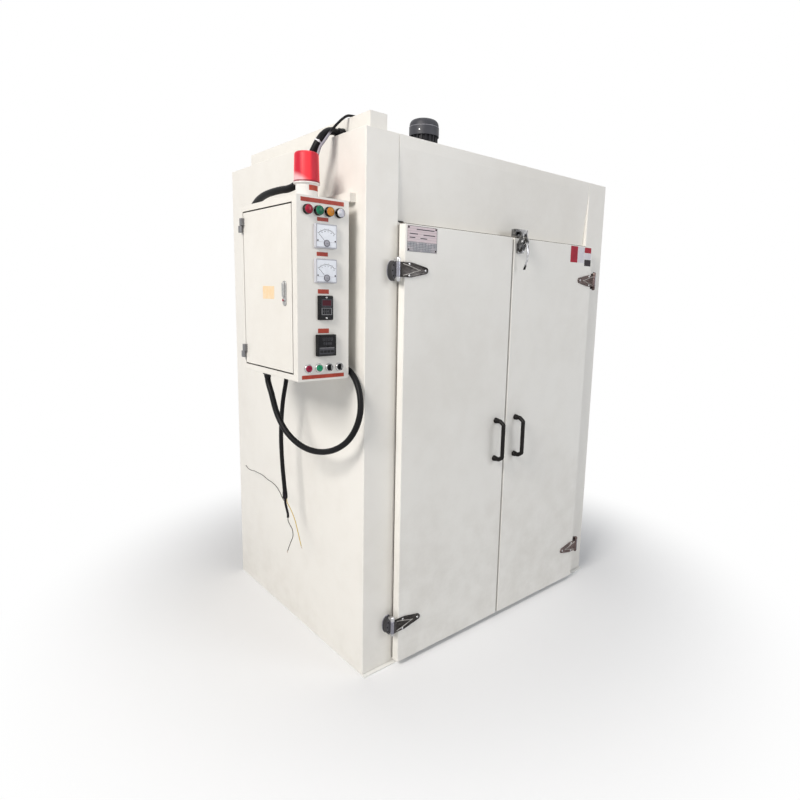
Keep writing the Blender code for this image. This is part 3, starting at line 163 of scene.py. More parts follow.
GREY_WIRE_POINTS = (
    (0.137, 0.391, -0.552), (0.139, 0.421, -0.533), (0.143, 0.459, -0.519), (0.148, 0.509, -0.514),
    (0.156, 0.569, -0.518), (0.163, 0.631, -0.517), (0.176, 0.743, -0.528), (0.188, 0.854, -0.541),
    (0.191, 0.881, -0.536))

# Hinges, in millimetres. Moulded edges are pairs of inset and height, and turned ones of radius and height.
STRAP_HALF, STRAP_START, STRAP_SHOULDER = 26.0, 4.0, 58.0
STRAP_TIP, STRAP_TIP_RADIUS = 123.0, 12.0
STRAP_FLOOR = 3.4
STRAP_EDGE = ((0, 0), (0, 3.8), (0.6, 4.4), (1.4, 4.4), (2.2, 3.6), (3.0, STRAP_FLOOR))
STRAP_CURL = np.array(((0, -9), (10, -8), (16, -4.8), (16, -1.5), (6, 0), (0, 4)))
STRAP_RIB = ((16, 20.5), (50, 12.5), (84, 2.2), (98, 0))
STRAP_SCREWS = ((46, 20), (46, -20), (121, 0))
CURL_HALF = 25.2
KNUCKLE_HALF, KNUCKLE_RADIUS, KNUCKLE_BORE = 25.8, 9.0, 4.8
LEAF_REACH, LEAF_HALF, LEAF_BACK = 20.0, 35.0, 12.0
LEAF_CUP = (
    (0, 0), (0, 3), (0.4, 3.8), (1.2, 4), (1.4, 6), (1.5, 23.6), (1.8, 24.6), (2.4, 25), (3, 24.8), (3.4, 24),
    (4, 23.6))
LEAF_FLOOR = ((3, 23.4), (3, 24.6), (3.6, 24.9))
LEAF_FLANGE = ((-0.6, 0), (-0.6, 2.2), (0.2, 3), (1, 3.1))
LEAF_SCREWS = ((9.5, 18.5), (13, 0), (9.5, -18.5))
LEAF_SCREW_FOOT = 24.8
LUG_TOP, SHORT_LUG_TOP = 43.0, 37.0
LUG_ARM = ((-6, 0), (6, 0), (6, 18), (-6, 18))
PIN_RADIUS, PIN_HALF = 4.0, 30.0

# Handles, latch and signs, in millimetres
HANDLE_HALF, HANDLE_LEG, HANDLE_REACH, HANDLE_CHAMFER, HANDLE_RADIUS = 83.0, 28.0, 46.8, 12.0, 8.8
HANDLE_ROSE = ((12.4, 0), (12.4, 2.2), (11.8, 3.6), (11.6, 11), (11, 12.6), (9.8, 13))
LATCH_BOSS = ((11.2, 0), (11.2, 3), (10, 4.4), (8.6, 4.4), (8, 3), (5.6, 3), (5, 5.2), (2, 6))
LEVER_EYE = ((7.8, -7.2), (8.5, -6.4), (8.5, 6.4), (7.8, 7.2), (4, 7.2), (4, -7.2))
LEVER_TOP, LEVER_LENGTH, LEVER_THICK = 14.0, 127.0, 2.9
LEVER_WIDTHS = ((0, 0.12, 0.45, 0.85, 1), (7.8, 7.8, 6.4, 5.6, 7.4))
PIN_DOME = ((5.2, 0), (5.2, 0.8), (4, 1.8), (1.8, 2.2))
FORM_WIDTH, FORM_HEIGHT, FORM_THICK = 139.5, 89.0, 0.9
FORM_TABLE_LOW, FORM_TABLE_HIGH = -40.0, -12.0
RIVET = ((3.6, 0), (3.4, 0.7), (2.5, 1.4), (1, 1.7))
# The wedge at the header's left end: a black piece that is painted shade in the gap there.
HEADER_GAP_SHADE_WEDGE = ((0, -4.5), (34, -1), (34, 1.4), (0, 2))

# Control box, in millimetres
LAMP_COLLAR = ((16.2, 0.1), (16.2, 2), (15.6, 2.8), (15.4, 11.8), (15, 12.6), (14.2, 12.8), (13.6, 12.4))
LAMP_DOME_RADIUS, LAMP_DOME_FOOT, LAMP_DOME_RISE = 14.0, 12.2, 4.8
BEZEL = ((15, 0.1), (15, 3), (14.6, 4.6), (13.4, 5.6), (12, 5.6), (10.9, 4.6), (10.9, 0.1))
PUSH_CAP = ((10.4, -10), (10.4, 8.5), (10, 9.6), (9.2, 10), (8, 9.8), (5, 9.1), (1.5, 8.8))
KNOB_BASE = ((10.4, -10), (10.4, 6.6), (10, 7.6), (9.2, 8), (8.5, 8))
KNOB_TOP = 18.0
KNOB_BAR = ((0, 7), (0.2, 15), (0.8, 17.2), (1.8, KNOB_TOP), (2.2, KNOB_TOP))
METER_FACE = 12.0
METER_RIM = ((0, 0), (0, 11.2), (0.6, 12.4), (1.4, 13), (2.2, 13), (3, 12.2), (3.4, METER_FACE))
METER_PIVOT = np.array((0, -23.0))
METER_CAP = ((11, 0), (11, 2.2), (10.6, 2.8), (9, 2.8), (8.2, 3.4), (5, 3.6), (4, 3.6), (2, 3.8))
METER_RING = ((11.1, 2), (11.1, 3), (9.4, 3), (9.4, 2))
METER_TOPS = (("upper", 500), ("lower", 100))
DIAL_RADIUS, DIAL_TICKS, DIAL_STEP = 42.8, 26, 5
TIMER_FACE = 12.0
TIMER_RIM = ((0, 0), (0, 5), (1.2, 6.2), (2, 6.6), (2.4, 10.8), (3.4, TIMER_FACE), (4, TIMER_FACE))
TIMER_DISPLAY_UP, TIMER_WHEELS_UP = 16.5, -11.5
TIMER_WHEELS = (-12.5, -4.2, 4.2, 12.5)
CONTROLLER_FACE = 12.8
CONTROLLER_RIM = (
    (0, 0), (0, 12.6), (0.6, 13.6), (1.6, 14), (4, 14), (5.2, CONTROLLER_FACE), (5.6, CONTROLLER_FACE))
CONTROLLER_KEYS = (-21, -7, 7, 21)
LOCK_BASE = ((0, 0), (0, 1.6), (0.8, 2.8), (2, 3.4), (3, 3.4))
LOCK_GRIP = ((0, 3), (0.2, 7), (1.4, 9), (3, 9.5), (3.6, 9.5))
LOCK_BARREL = ((6.2, 3), (6.2, 5.8), (5.4, 6.6), (4.4, 6.6))
LOCK_BUTTON = ((4, 6), (4, 8.2), (3.4, 8.8), (2, 9))

# Beacon, motor and cable ends, in millimetres
BEACON_SKIRT = ((43.6, 0), (43.6, 4.2), (42.8, 5.2), (42.6, 11))
BEACON_TOP = ((24, 98.8), (12, 99), (2, 99))
BEACON_FOOT_HEIGHT = 56.0
BEACON_FOOT = (
    (36.6, 0), (37, 1), (37, 50), (38, 51.6), (43.8, 52.6), (44.5, 53.4), (44.5, 55.4),
    (44, BEACON_FOOT_HEIGHT), (30, BEACON_FOOT_HEIGHT))
COWL_SKIRT = (
    (2, 36), (60, 36), (68.5, 30), (68.8, 0.6), (70.2, 0), (71, 0.8), (71, 39.2), (70.6, 40.4), (70.6, 41.8),
    (69.8, 42.8))
COWL_CROWN = ((46, 75.2), (44.6, 77), (38, 78.8), (20, 79.9), (2, 80))
COWL_LEDGE = ((70, 39.8), (71.2, 40.2), (71.3, 41.6), (70, 42.4))
MOTOR_PLATE = 10.0
TRUNKING_COLLAR = ((18.5, 0), (18.5, 6), (17.2, 7.8), (16.8, 20.6), (16, 21.4), (13.4, 21.6))
CABLE_TAPE = ((8.8, 0.5), (9.7, 2), (10.1, 11), (9.8, 24), (8.9, 33))

# Rows: where a fitting's across, up and out point in the world
FACING = {side: np.array(rows, float) for side, rows in {
    "front": ((1, 0, 0), (0, 0, 1), (0, -1, 0)),
    "back": ((1, 0, 0), (0, 0, 1), (0, 1, 0)),
    "left": ((0, -1, 0), (0, 0, 1), (-1, 0, 0)),
    "right": ((0, 1, 0), (0, 0, 1), (1, 0, 0)),
    "roof": ((1, 0, 0), (0, 1, 0), (0, 0, 1)),
    "below": ((1, 0, 0), (0, -1, 0), (0, 0, -1)),
}.items()}


# Shader maths

class Wire:
    """A shader socket under Python's operators. Numbers go through Math, and vectors through Vector Math."""

    def __init__(self, socket):
        self.socket = socket

    def join(self, operation, other, swapped=False):
        """The node of one operation on this wire and another value, in the order that is asked for."""
        kind = "ShaderNodeVectorMath" if self.socket.type == "VECTOR" else "ShaderNodeMath"
        node = self.socket.id_data.nodes.new(kind)
        node.operation = operation
        pair = (other, self) if swapped else (self, other)
        for socket, value in zip(node.inputs, pair):
            put(socket, value)
        return Wire(node.outputs[0])

    def __add__(self, other):
        return self.join("ADD", other)

    def __radd__(self, other):
        return self.join("ADD", other, True)

    def __sub__(self, other):
        return self.join("SUBTRACT", other)

    def __rsub__(self, other):
        return self.join("SUBTRACT", other, True)

    def __mul__(self, other):
        return self.join("MULTIPLY", other)

    def __rmul__(self, other):
        return self.join("MULTIPLY", other, True)


def put(socket, value):
    """Give a socket a wire, a colour or a number."""
    if isinstance(value, Wire):
        socket.id_data.links.new(value.socket, socket)
    elif socket.type == "RGBA" and len(value) == 3:
        socket.default_value = (*value, 1.0)
    else:
        socket.default_value = value


class Nodes:
    """A node tree and the patterns that are built in it."""

    def __init__(self, tree):
        self.tree = tree

    def node(self, kind, settings=None, sockets=None, output=0):
        """Any node: its type, its settings, the values or wires of its sockets, and one output's wire."""
        made = self.tree.nodes.new(kind)
        for name, value in (settings or {}).items():
            setattr(made, name, value)
        for key, value in (sockets or {}).items():
            put(made.inputs[key], value)
        return Wire(made.outputs[output])

    def maths(self, operation, *values):
        """A Math node's operation on one or two values."""
        return self.node("ShaderNodeMath", {"operation": operation}, dict(enumerate(values)))

    def most(self, first, second):
        """The larger of two values."""
        return self.maths("MAXIMUM", first, second)

    def place(self):
        """Where a point is on the object, in metres."""
        return self.node("ShaderNodeTexCoord", output="Object")

    def axes(self):
        """The three coordinates of the place, each on its own wire."""
        node = self.tree.nodes.new("ShaderNodeSeparateXYZ")
        put(node.inputs[0], self.place())
        return [Wire(socket) for socket in node.outputs]

    def stretched(self, x, y, z):
        """The place with each axis multiplied by its own factor."""
        return self.place() * (x, y, z)

    def noise(self, scale, detail=3.0, rough=0.5, at=None):
        """Cloudy noise from 0 to 1, with so many lumps a metre."""
        sockets = {"Vector": at or self.place(), "Scale": scale, "Detail": detail, "Roughness": rough}
        return self.node("ShaderNodeTexNoise", sockets=sockets)

    def between(self, value, low, high, start=0.0, end=1.0):
        """A smooth step: start below low, end above high."""
        return self.node("ShaderNodeMapRange", {"interpolation_type": "SMOOTHSTEP"}, {
            "Value": value, "From Min": low, "From Max": high, "To Min": start, "To Max": end})

    def mix(self, first, second, mask):
        """The first colour where the mask is 0, and the second where it is 1."""
        return self.node("ShaderNodeMix", {"data_type": "RGBA"}, {0: mask, 6: first, 7: second}, 2)

    def seen(self):
        """1 where the camera, a mirror or glass looks, and 0 where the light of the scene does."""
        rays = self.tree.nodes.new("ShaderNodeLightPath").outputs
        camera, glossy, through = (Wire(rays[f"Is {kind} Ray"]) for kind in SEEN_RAYS)
        return self.most(self.most(camera, glossy), through)


class Finish(Nodes):
    """A procedural material on one Principled shader."""

    def __init__(self, name, **constants):
        self.material = bpy.data.materials.new(name)
        self.material.use_nodes = True
        super().__init__(self.material.node_tree)
        self.shader = self.tree.nodes["Principled BSDF"]
        self.shade(**constants)

    def shade(self, **sockets):
        """Set the shader's sockets; a name's underscores stand for spaces."""
        for name, value in sockets.items():
            put(self.shader.inputs[name.replace("_", " ")], value)
        return self

    def fed(self, name):
        """The wire that feeds one of the shader's sockets already."""
        return Wire(self.shader.inputs[name].links[0].from_socket)

    def bump(self, height, distance, strength=1.0):
        """Raise the surface by a height map, in metres at the map's 1."""
        sockets = {"Height": height, "Distance": distance, "Strength": strength}
        last = self.shader.inputs["Normal"]
        if last.is_linked:
            sockets["Normal"] = self.fed("Normal")
        put(last, self.node("ShaderNodeBump", sockets=sockets))
        return self


# Finishes

def enamel(name, colour, shadow, roughness=0.36, dust_and_shade=0.0, dust_and_shade_top=0.30):
    """Sprayed powder coat: a fine orange peel, broad unevenness, faint specks, and a darkening that is
    thickest
    at the floor and gone at its top height: dust on the walls, and on the doors, where it reaches 0.9 m,
    painted shade as well as dust."""
    made = Finish(name, Coat_Weight=0.12, Coat_Roughness=0.22)
    z = made.axes()[2]
    broad = made.noise(1.7, 4.0, 0.6)
    mottle = made.noise(14.0, 5.0, 0.65)
    peel = made.noise(420.0, 2.0)
    specks = made.between(made.noise(260.0, 1.0), 0.76, 0.82)
    tone = made.mix(colour, shadow, made.between(broad + mottle * 0.4, 0.55, 0.95))
    # Darkening towards the floor: dust on the walls; on the doors, which carry it up to 0.9 m, painted shade
    # too.
    dust_and_shade_mask = made.between(z, 0.0, dust_and_shade_top, 1.0, 0.0) * made.between(mottle, 0.25, 0.75) * dust_and_shade
    tone = made.mix(tone, tuple(0.55 * part for part in shadow), specks * 0.35)
    tone = made.mix(tone, (0.44, 0.42, 0.37), dust_and_shade_mask)
    made.shade(Base_Color=tone, Roughness=roughness + mottle * 0.10 + dust_and_shade_mask * 0.5)
    return made.bump(peel, 0.00012, 0.5).bump(broad, 0.0025, 0.10)


def box_enamel(name, colour, shadow):
    """The control box's coat, and the bare dark steel of its hinges, which stand out past its left side."""
    made = enamel(name, colour, shadow)
    x = made.axes()[0]
    bare = made.between(x, BOX_SIDE - 0.0008, BOX_SIDE - 0.0004, 1.0, 0.0)
    steel_tone = made.mix((0.12, 0.12, 0.13), (0.26, 0.26, 0.27), made.noise(160.0, 3.0))
    return made.shade(
        Base_Color=made.mix(made.fed("Base Color"), steel_tone, bare), Metallic=bare * 0.85,
        Roughness=made.fed("Roughness") * (1 - bare) + bare * 0.38)


def steel(name, dark, light, roughness, stretch=(1, 1, 1), grain_scale=180.0, smear=0.10):
    """Rolled or polished steel: a directional grain, broad cloudy tone and smeared finger marks."""
    made = Finish(name, Metallic=1.0)
    grain = made.noise(grain_scale, 4.0, 0.6, made.stretched(*stretch))
    cloud = made.noise(11.0, 4.0)
    marks = made.between(made.noise(38.0, 4.0, 0.7), 0.50, 0.72)
    made.shade(
        Base_Color=made.mix(dark, light, made.between(grain * 0.5 + cloud * 0.6, 0.35, 0.75)),
        Roughness=roughness + grain * 0.08 + marks * smear)
    return made.bump(grain, 0.00006, 0.5)


def moulding(name, colour, roughness, specular=0.2, tint=None, scale=300.0, bump=0.00006):
    """Moulded plastic or rubber: a fine grain in colour, roughness and height."""
    made = Finish(name, Specular_IOR_Level=specular)
    grain = made.noise(scale, 3.0)
    cloud = made.noise(26.0, 3.0)
    second = tint or tuple(min(1.0, 1.35 * part + 0.004) for part in colour)
    made.shade(
        Base_Color=made.mix(colour, second, cloud * 0.7 + grain * 0.3), Roughness=roughness + cloud * 0.10)
    return made.bump(grain, bump, 0.6)


def lens(name, deep, bright, roughness=0.12):
    """A coloured translucent cap: deeper in its body, brighter where light gathers in it."""
    made = Finish(name, Specular_IOR_Level=0.22, Subsurface_Weight=0.12, Subsurface_Scale=0.006)
    inner = made.noise(90.0, 2.0)
    return made.shade(
        Base_Color=made.mix(deep, bright, made.between(inner, 0.3, 0.7)), Roughness=roughness + inner * 0.06)


def printed(name, colour, second):
    """A printed label or sticker under a thin film, its ink a little uneven."""
    made = Finish(name, Specular_IOR_Level=0.22)
    ink = made.noise(40.0, 4.0, 0.7)
    film = made.noise(900.0, 2.0)
    made.shade(
        Base_Color=made.mix(colour, second, made.between(ink, 0.35, 0.7)), Roughness=0.34 + film * 0.08)
    return made.bump(ink, 0.00008, 0.4)


def beacon_glass(centre, bottom, top):
    """The beacon's red cap: four bright bands, a cosine of four times the angle round its axis, for the
    reflector inside, turned so that a dark band is painted shade on its right; fine flutes, a sine of 48
    times it; a paler foot on its outer side, where the white base shows through under a painted reflection;
    and a dark line under that, a painted shadow under the rim."""
    made = Finish("beacon_glass", Specular_IOR_Level=0.25, Emission_Strength=0.14)
    x, y, z = made.axes()
    turn = made.maths("ARCTAN2", y - centre[1], x - centre[0])
    # Bright and dark bands round the axis: the reflector inside, and painted shade where a dark band falls on
    # the right.
    painted_light_lobes = made.maths("COSINE", turn * 4.0 + 8.4) * 0.5 + 0.5
    flutes = made.maths("SINE", turn * 48.0) * 0.5 + 0.5
    rise = (z - bottom) * (1 / (top - bottom))
    outer = (centre[0] - x) * 17.3 + (y - centre[1]) * 15.1
    cloud = made.noise(30.0, 3.0)
    red = made.mix(
        (0.50, 0.010, 0.030), (0.86, 0.045, 0.062), made.between(painted_light_lobes + cloud * 0.2, 0.30, 0.95))
    # A pale patch low on one side: painted reflection, over the white base showing through.
    painted_glare = made.between(rise - outer * 0.20 + cloud * 0.06, 0.02, 0.26, 1.0, 0.0)
    tone = made.mix(red, (0.80, 0.50, 0.53), painted_glare * made.between(outer, -0.7, 0.4) * 0.85)
    # A dark line at the foot of the cap: painted shadow under the rim.
    tone = made.mix(tone, (0.16, 0.012, 0.022), made.between(rise, 0.045, 0.065, 1.0, 0.0) * 0.8)
    made.shade(Base_Color=tone, Roughness=0.36 + cloud * 0.08, Emission_Color=tone)
    return made.bump(flutes, 0.0003, 0.4)


def sheath(name, colour=(0.0055, 0.0055, 0.0065), shine=(0.016, 0.016, 0.018), roughness=0.42):
    """Cord covering: soft black plastic with a fine grain and paler scuffs."""
    made = Finish(name, Specular_IOR_Level=0.14)
    grain = made.noise(520.0, 3.0)
    scuff = made.between(made.noise(60.0, 5.0, 0.7), 0.55, 0.78)
    made.shade(
        Base_Color=made.mix(colour, shine, scuff * 0.7 + grain * 0.15), Roughness=roughness + scuff * 0.18)
    return made.bump(grain, 0.00012, 0.6).bump(scuff, 0.0002, 0.3)


def two_tone_sheath(name, colour, change):
    """The motor cable's sheath: black above a height, and a pale lilac grey below it."""
    made = sheath(name)
    z = made.axes()[2]
    black = made.between(z, change - 0.012, change + 0.006)
    return made.shade(Base_Color=made.mix(colour, made.fed("Base Color"), black))


def rating_metal():
    """Printed sheet: a pale pinkish upper part, a grey lower part and fine ruled lines, which lie where the
    height folded every 4.5 mm is near zero."""
    made = Finish("rating_metal", Specular_IOR_Level=0.3)
    z = made.axes()[2]
    cloud = made.noise(60.0, 4.0)
    lower = made.between(z + cloud * 0.006, 1.636, 1.644, 1.0, 0.0)
    rows = made.maths("PINGPONG", z, 0.0045) * (1 / 0.0045)
    rules = made.between(rows, 0.12, 0.26, 1.0, 0.0)
    tone = made.mix((0.72, 0.61, 0.64), (0.42, 0.43, 0.46), lower)
    tone = made.mix(tone, (0.74, 0.66, 0.69), made.between(cloud, 0.45, 0.8) * 0.8)
    tone = made.mix(tone, (0.20, 0.17, 0.20), rules * 0.30)
    made.shade(Base_Color=tone, Roughness=0.42 + cloud * 0.12)
    return made.bump(rules, 0.0001, 0.4)


def plating_with_painted_dark_ends(name, dark_above, dark_below):
    """Plating painted near black above one height and below another: painted dark reflections."""
    made = steel(name, (0.10, 0.10, 0.105), (0.70, 0.70, 0.71), 0.12, grain_scale=75.0, smear=0.12)
    z = made.axes()[2]
    # Near black above and below two heights: painted dark reflections at the lever's eye and tip.
    painted_dark_ends = made.most(
        made.between(z, dark_above - 0.006, dark_above + 0.006),
        made.between(z, dark_below - 0.006, dark_below + 0.006, 1.0, 0.0))
    return made.shade(Base_Color=made.mix(made.fed("Base Color"), (0.016, 0.015, 0.014), painted_dark_ends * 0.95))


CREAM = enamel("cream_coat", (0.85, 0.835, 0.795), (0.80, 0.78, 0.735), 0.34, 0.10)
BOX_CREAM = box_enamel("box_coat", (0.80, 0.785, 0.745), (0.755, 0.735, 0.690))
# The doors' darkening reaches 0.9 m: painted shade on their lower part as well as dust.
PALE_CREAM = enamel("door_coat", (0.85, 0.84, 0.805), (0.80, 0.785, 0.745), 0.33, 0.16, 0.90)
SILL_STEEL = moulding("sill_coat", (0.80, 0.80, 0.78), 0.40, 0.4, (0.90, 0.90, 0.88), 60.0)
LINER_STEEL = steel("liner_sheet", (0.52, 0.53, 0.54), (0.62, 0.63, 0.64), 0.30, (6, 6, 1), 60.0)
RUBBER = moulding("gasket_rubber_skin", (0.020, 0.020, 0.021), 0.62, 0.3)
HINGE_STEEL = steel(
    "hinge_dark_steel", (0.012, 0.011, 0.011), (0.085, 0.078, 0.074), 0.18, (1, 1, 3), 70.0, 0.16)
# The right hinges' steel: the dark hinge steel with a warm brown tint, a painted warm reflection.
HINGE_STEEL_WARM_REFLECTION = steel(
    "hinge_warm_steel", (0.045, 0.031, 0.029), (0.190, 0.140, 0.132), 0.24, (1, 1, 3), 70.0, 0.16)
LEAF_GREY = moulding("hinge_leaf_grey", (0.090, 0.090, 0.100), 0.35, 0.35, (0.150, 0.150, 0.165))
# The right leaves' floors: the grey leaf with a brown tint, a painted warm reflection.
LEAF_GREY_WARM_REFLECTION = moulding("hinge_leaf_brown", (0.095, 0.070, 0.068), 0.35, 0.35, (0.165, 0.120, 0.115))
LEAF_EDGE = moulding("hinge_leaf_edge", (0.022, 0.022, 0.025), 0.35, 0.35, (0.045, 0.044, 0.048))
KNUCKLE_STEEL = steel("knuckle_steel", (0.16, 0.16, 0.19), (0.48, 0.48, 0.54), 0.20, (60, 60, 1), 12.0)
RIB_STEEL = steel("rib_steel", (0.22, 0.21, 0.20), (0.55, 0.53, 0.50), 0.24, grain_scale=60.0)
BRIGHT_STEEL = steel("bright_steel", (0.42, 0.42, 0.43), (0.74, 0.74, 0.75), 0.18, (1, 1, 6))
CHROME = steel(
    "latch_plating", (0.055, 0.055, 0.058), (0.62, 0.62, 0.63), 0.12, grain_scale=75.0, smear=0.12)
# The lever's eye and tip are painted near black: painted dark reflections in its chrome.
LEVER_CHROME = plating_with_painted_dark_ends("lever_plating", 1.676, 1.584)
BLACK = moulding("black_moulding", (0.006, 0.006, 0.007), 0.36)
HANDLE_BLACK = moulding("handle_enamel", (0.005, 0.004, 0.004), 0.28, 0.18, None, 700.0)
MOTOR_DARK = moulding(
    "motor_body_enamel", (0.012, 0.012, 0.015), 0.45, 0.2, (0.030, 0.031, 0.037), 240.0, 0.00025)
MOTOR_GREY = moulding("motor_enamel", (0.034, 0.035, 0.043), 0.42, 0.3, (0.070, 0.072, 0.086), 240.0, 0.00025)
ZINC = steel("lock_zinc", (0.30, 0.30, 0.30), (0.50, 0.50, 0.49), 0.34)
WHITE = moulding("beacon_white_plastic", (0.80, 0.78, 0.76), 0.30)
DIAL = moulding("dial_plate", (0.78, 0.82, 0.90), 0.22, 0.5, (0.84, 0.87, 0.93))
METER_CASE = moulding("meter_case", (0.46, 0.47, 0.52), 0.16, 0.4, (0.56, 0.57, 0.62))
INK = moulding("dial_ink", (0.020, 0.022, 0.035), 0.40)
CAP_GREY = moulding("meter_cap", (0.30, 0.30, 0.35), 0.30, 0.4, (0.42, 0.42, 0.47))
LAMP_LENSES = {
    "red": lens("lamp_red", (0.28, 0.006, 0.026), (0.46, 0.020, 0.050)),
    "green": lens("lamp_green", (0.004, 0.12, 0.058), (0.014, 0.22, 0.11)),
    "amber": lens("lamp_amber", (0.46, 0.15, 0.010), (0.68, 0.28, 0.03)),
    "white": lens("lamp_white", (0.52, 0.53, 0.60), (0.78, 0.78, 0.84)),
}
BUTTON_RED = lens("button_red_cap", (0.22, 0.002, 0.030), (0.34, 0.006, 0.045), 0.30)
BUTTON_GREEN = lens("button_green_cap", (0.002, 0.20, 0.085), (0.010, 0.32, 0.15), 0.30)
LABEL_RED = printed("label_red", (0.46, 0.070, 0.040), (0.36, 0.040, 0.026))
STICKER_RED = printed("sticker_crimson", (0.40, 0.008, 0.030), (0.28, 0.005, 0.020))
STICKER_GREY = printed("sticker_pale", (0.66, 0.65, 0.70), (0.74, 0.73, 0.77))
STICKER_BLACK = printed("sticker_black", (0.009, 0.005, 0.009), (0.016, 0.008, 0.014))
STICKER_ORANGE = printed("sticker_orange", (0.86, 0.62, 0.36), (0.84, 0.68, 0.48))
GLASS_BLACK = moulding("display_glass", (0.004, 0.004, 0.006), 0.10, 0.22, None, 80.0, 0.00001)
GLASS_RED = moulding("display_red_glass", (0.060, 0.004, 0.012), 0.10, 0.22, None, 80.0, 0.00001)
SEGMENT = moulding("display_segment", (0.070, 0.070, 0.080), 0.30)
KEY_GREY = moulding("key_grey", (0.060, 0.060, 0.070), 0.46)
LINE_GREY = moulding("print_grey", (0.17, 0.17, 0.18), 0.40)
CORD_BLACK = sheath("cord_sheath")
MOTOR_CORD = two_tone_sheath("motor_cord_sheath", (0.34, 0.33, 0.38), 2.0)
CORE_BLACK = sheath("core_tape", (0.006, 0.004, 0.007), (0.030, 0.022, 0.032), 0.34)
WIRE_YELLOW = moulding("yellow_insulation", (0.62, 0.36, 0.05), 0.42, 0.2, (0.50, 0.42, 0.08))
WIRE_GREY = moulding("grey_insulation", (0.040, 0.034, 0.030), 0.42)
TIE_WHITE = moulding("tie_white", (0.66, 0.68, 0.72), 0.34)
# Dark brown for the door seal lips and the header's strip: painted shade in the gaps.
SEAL_AND_GAP_SHADE = moulding("seal_strip_and_gap_shade", (0.055, 0.042, 0.032), 0.60, 0.2, (0.10, 0.08, 0.062), 90.0)
COPPER = steel("strand_copper", (0.30, 0.16, 0.09), (0.60, 0.36, 0.24), 0.30)
RATING = rating_metal()
BEACON_RED = beacon_glass(BEACON_CENTRE, BEACON_LOW.z, BEACON_HIGH.z)

FINISH_OF_SLOT = {
    "cream_paint": CREAM, "floor_steel": SILL_STEEL, "liner_steel": LINER_STEEL, "gasket_rubber": RUBBER,
    "hinge_steel": HINGE_STEEL, "latch_chrome": CHROME, "black_plastic": BLACK, "motor_paint": MOTOR_GREY,
    "lock_grey": ZINC, "beacon_red": BEACON_RED, "beacon_white": WHITE, "meter_white": METER_CASE,
    "button_red": BUTTON_RED, "button_green": BUTTON_GREEN, "cord_black": CORD_BLACK,
    "wire_yellow": WIRE_YELLOW, "wire_grey": WIRE_GREY,
}
FINISH_OF_NODE = {
    "control_box": BOX_CREAM, "control_box_door": BOX_CREAM, "left_door": PALE_CREAM,
    "right_door": PALE_CREAM, "fan_motor": MOTOR_DARK,
}


def finish_nodes():
    """Give each node of the model its own finish, by its name or else by its material slot."""
    for name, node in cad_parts.items():
        for slot in node.material_slots:
            key = slot.material.name.split(".")[0]
            slot.material = FINISH_OF_NODE.get(name, FINISH_OF_SLOT[key]).material


# Shapes: a shell is an array of points and a list of faces

def ring_shell(rings, capped=True, looped=False):
    """A skin over a stack of closed rings: quads join each ring to the next, and a face closes each end.

    A looped stack joins its last ring to its first instead, like a tyre."""
    count, around = rings.shape[:2]
    first = np.arange(around)
    second = np.roll(first, -1)
    quad = np.stack((first, second, second + around, first + around), axis=1)
    steps = np.arange(count if looped else count - 1)[:, None, None]
    faces = ((quad[None] + around * steps) % (count * around)).reshape(-1, 4).tolist()
    if capped and not looped:
        faces.append(first[::-1].tolist())
        faces.append((first + around * (count - 1)).tolist())
    return rings.reshape(-1, 3), faces


def joined(*shells):
    """One shell out of several: each one's face numbers go up by the points before it."""
    starts = np.cumsum([0] + [len(points) for points, _ in shells])
    faces = [
        [corner + int(start) for corner in face] for start, (_, part) in zip(starts, shells) for face in part]
    return np.vstack([points for points, _ in shells]), faces


def moved(shell, across=0.0, up=0.0, out=0.0):
    """A shell shifted in its own axes."""
    return shell[0] + (across, up, out), shell[1]


def stand(shell, facing, at):
    """A shell in millimetres turned to face out of one side of the oven, with its own zero at a place."""
    points, faces = shell
    return MM * points @ FACING[facing] + np.asarray(at, float), faces


def lathe(profile, steps=48, looped=False):
    """A profile of radius and height turned about the out axis: x = r cos a, y = r sin a, z = h."""
    profile = np.asarray(profile, float)
    angle = np.arange(steps) * tau / steps
    radius, height = profile[:, :1], profile[:, 1:]
    rings = np.stack((radius * np.cos(angle), radius * np.sin(angle), height + 0 * angle), axis=2)
    return ring_shell(rings, looped=looped)


def moulded(outline, profile):
    """An outline carried up a profile of insets and heights. Each ring is the outline moved inwards along
    its mitres: the sum of the two edge normals at a corner over one plus their product."""
    outline = np.asarray(outline, float)
    edges = np.roll(outline, -1, axis=0) - outline
    edges /= np.linalg.norm(edges, axis=1, keepdims=True)
    after = np.stack((-edges[:, 1], edges[:, 0]), axis=1)
    before = np.roll(after, 1, axis=0)
    mitre = (before + after) / (1 + (before * after).sum(axis=1, keepdims=True))
    inset, height = np.asarray(profile, float).T[:, :, None]
    flat = outline[None] + inset[:, :, None] * mitre[None]
    heights = np.broadcast_to(height[:, :, None], (*flat.shape[:2], 1))
    return ring_shell(np.concatenate((flat, heights), axis=2))


def level_rings(*pairs):
    """A stack of flat outlines, each one at its own height."""
    return np.array([np.insert(np.asarray(outline, float), 2, height, axis=1) for outline, height in pairs])


def prism(outline, low, high):
    """A flat outline carried straight from one height to another."""
    return ring_shell(level_rings((outline, low), (outline, high)))


def quarter_arc(steps, end=pi / 2):
    """The cosines and sines of even steps from 0 to an angle."""
    turn = np.linspace(0.0, end, steps)
    return np.stack((np.cos(turn), np.sin(turn)), axis=1)


def soft_edge(height, radius, steps=4):
    """The profile of a plate with a rounded top edge: up its side, a quarter circle, and a flat rim."""
    curve = quarter_arc(steps + 1) * (-radius, radius) + (radius, height - radius)
    return np.vstack(((0, 0), curve, (radius * 1.6, height)))


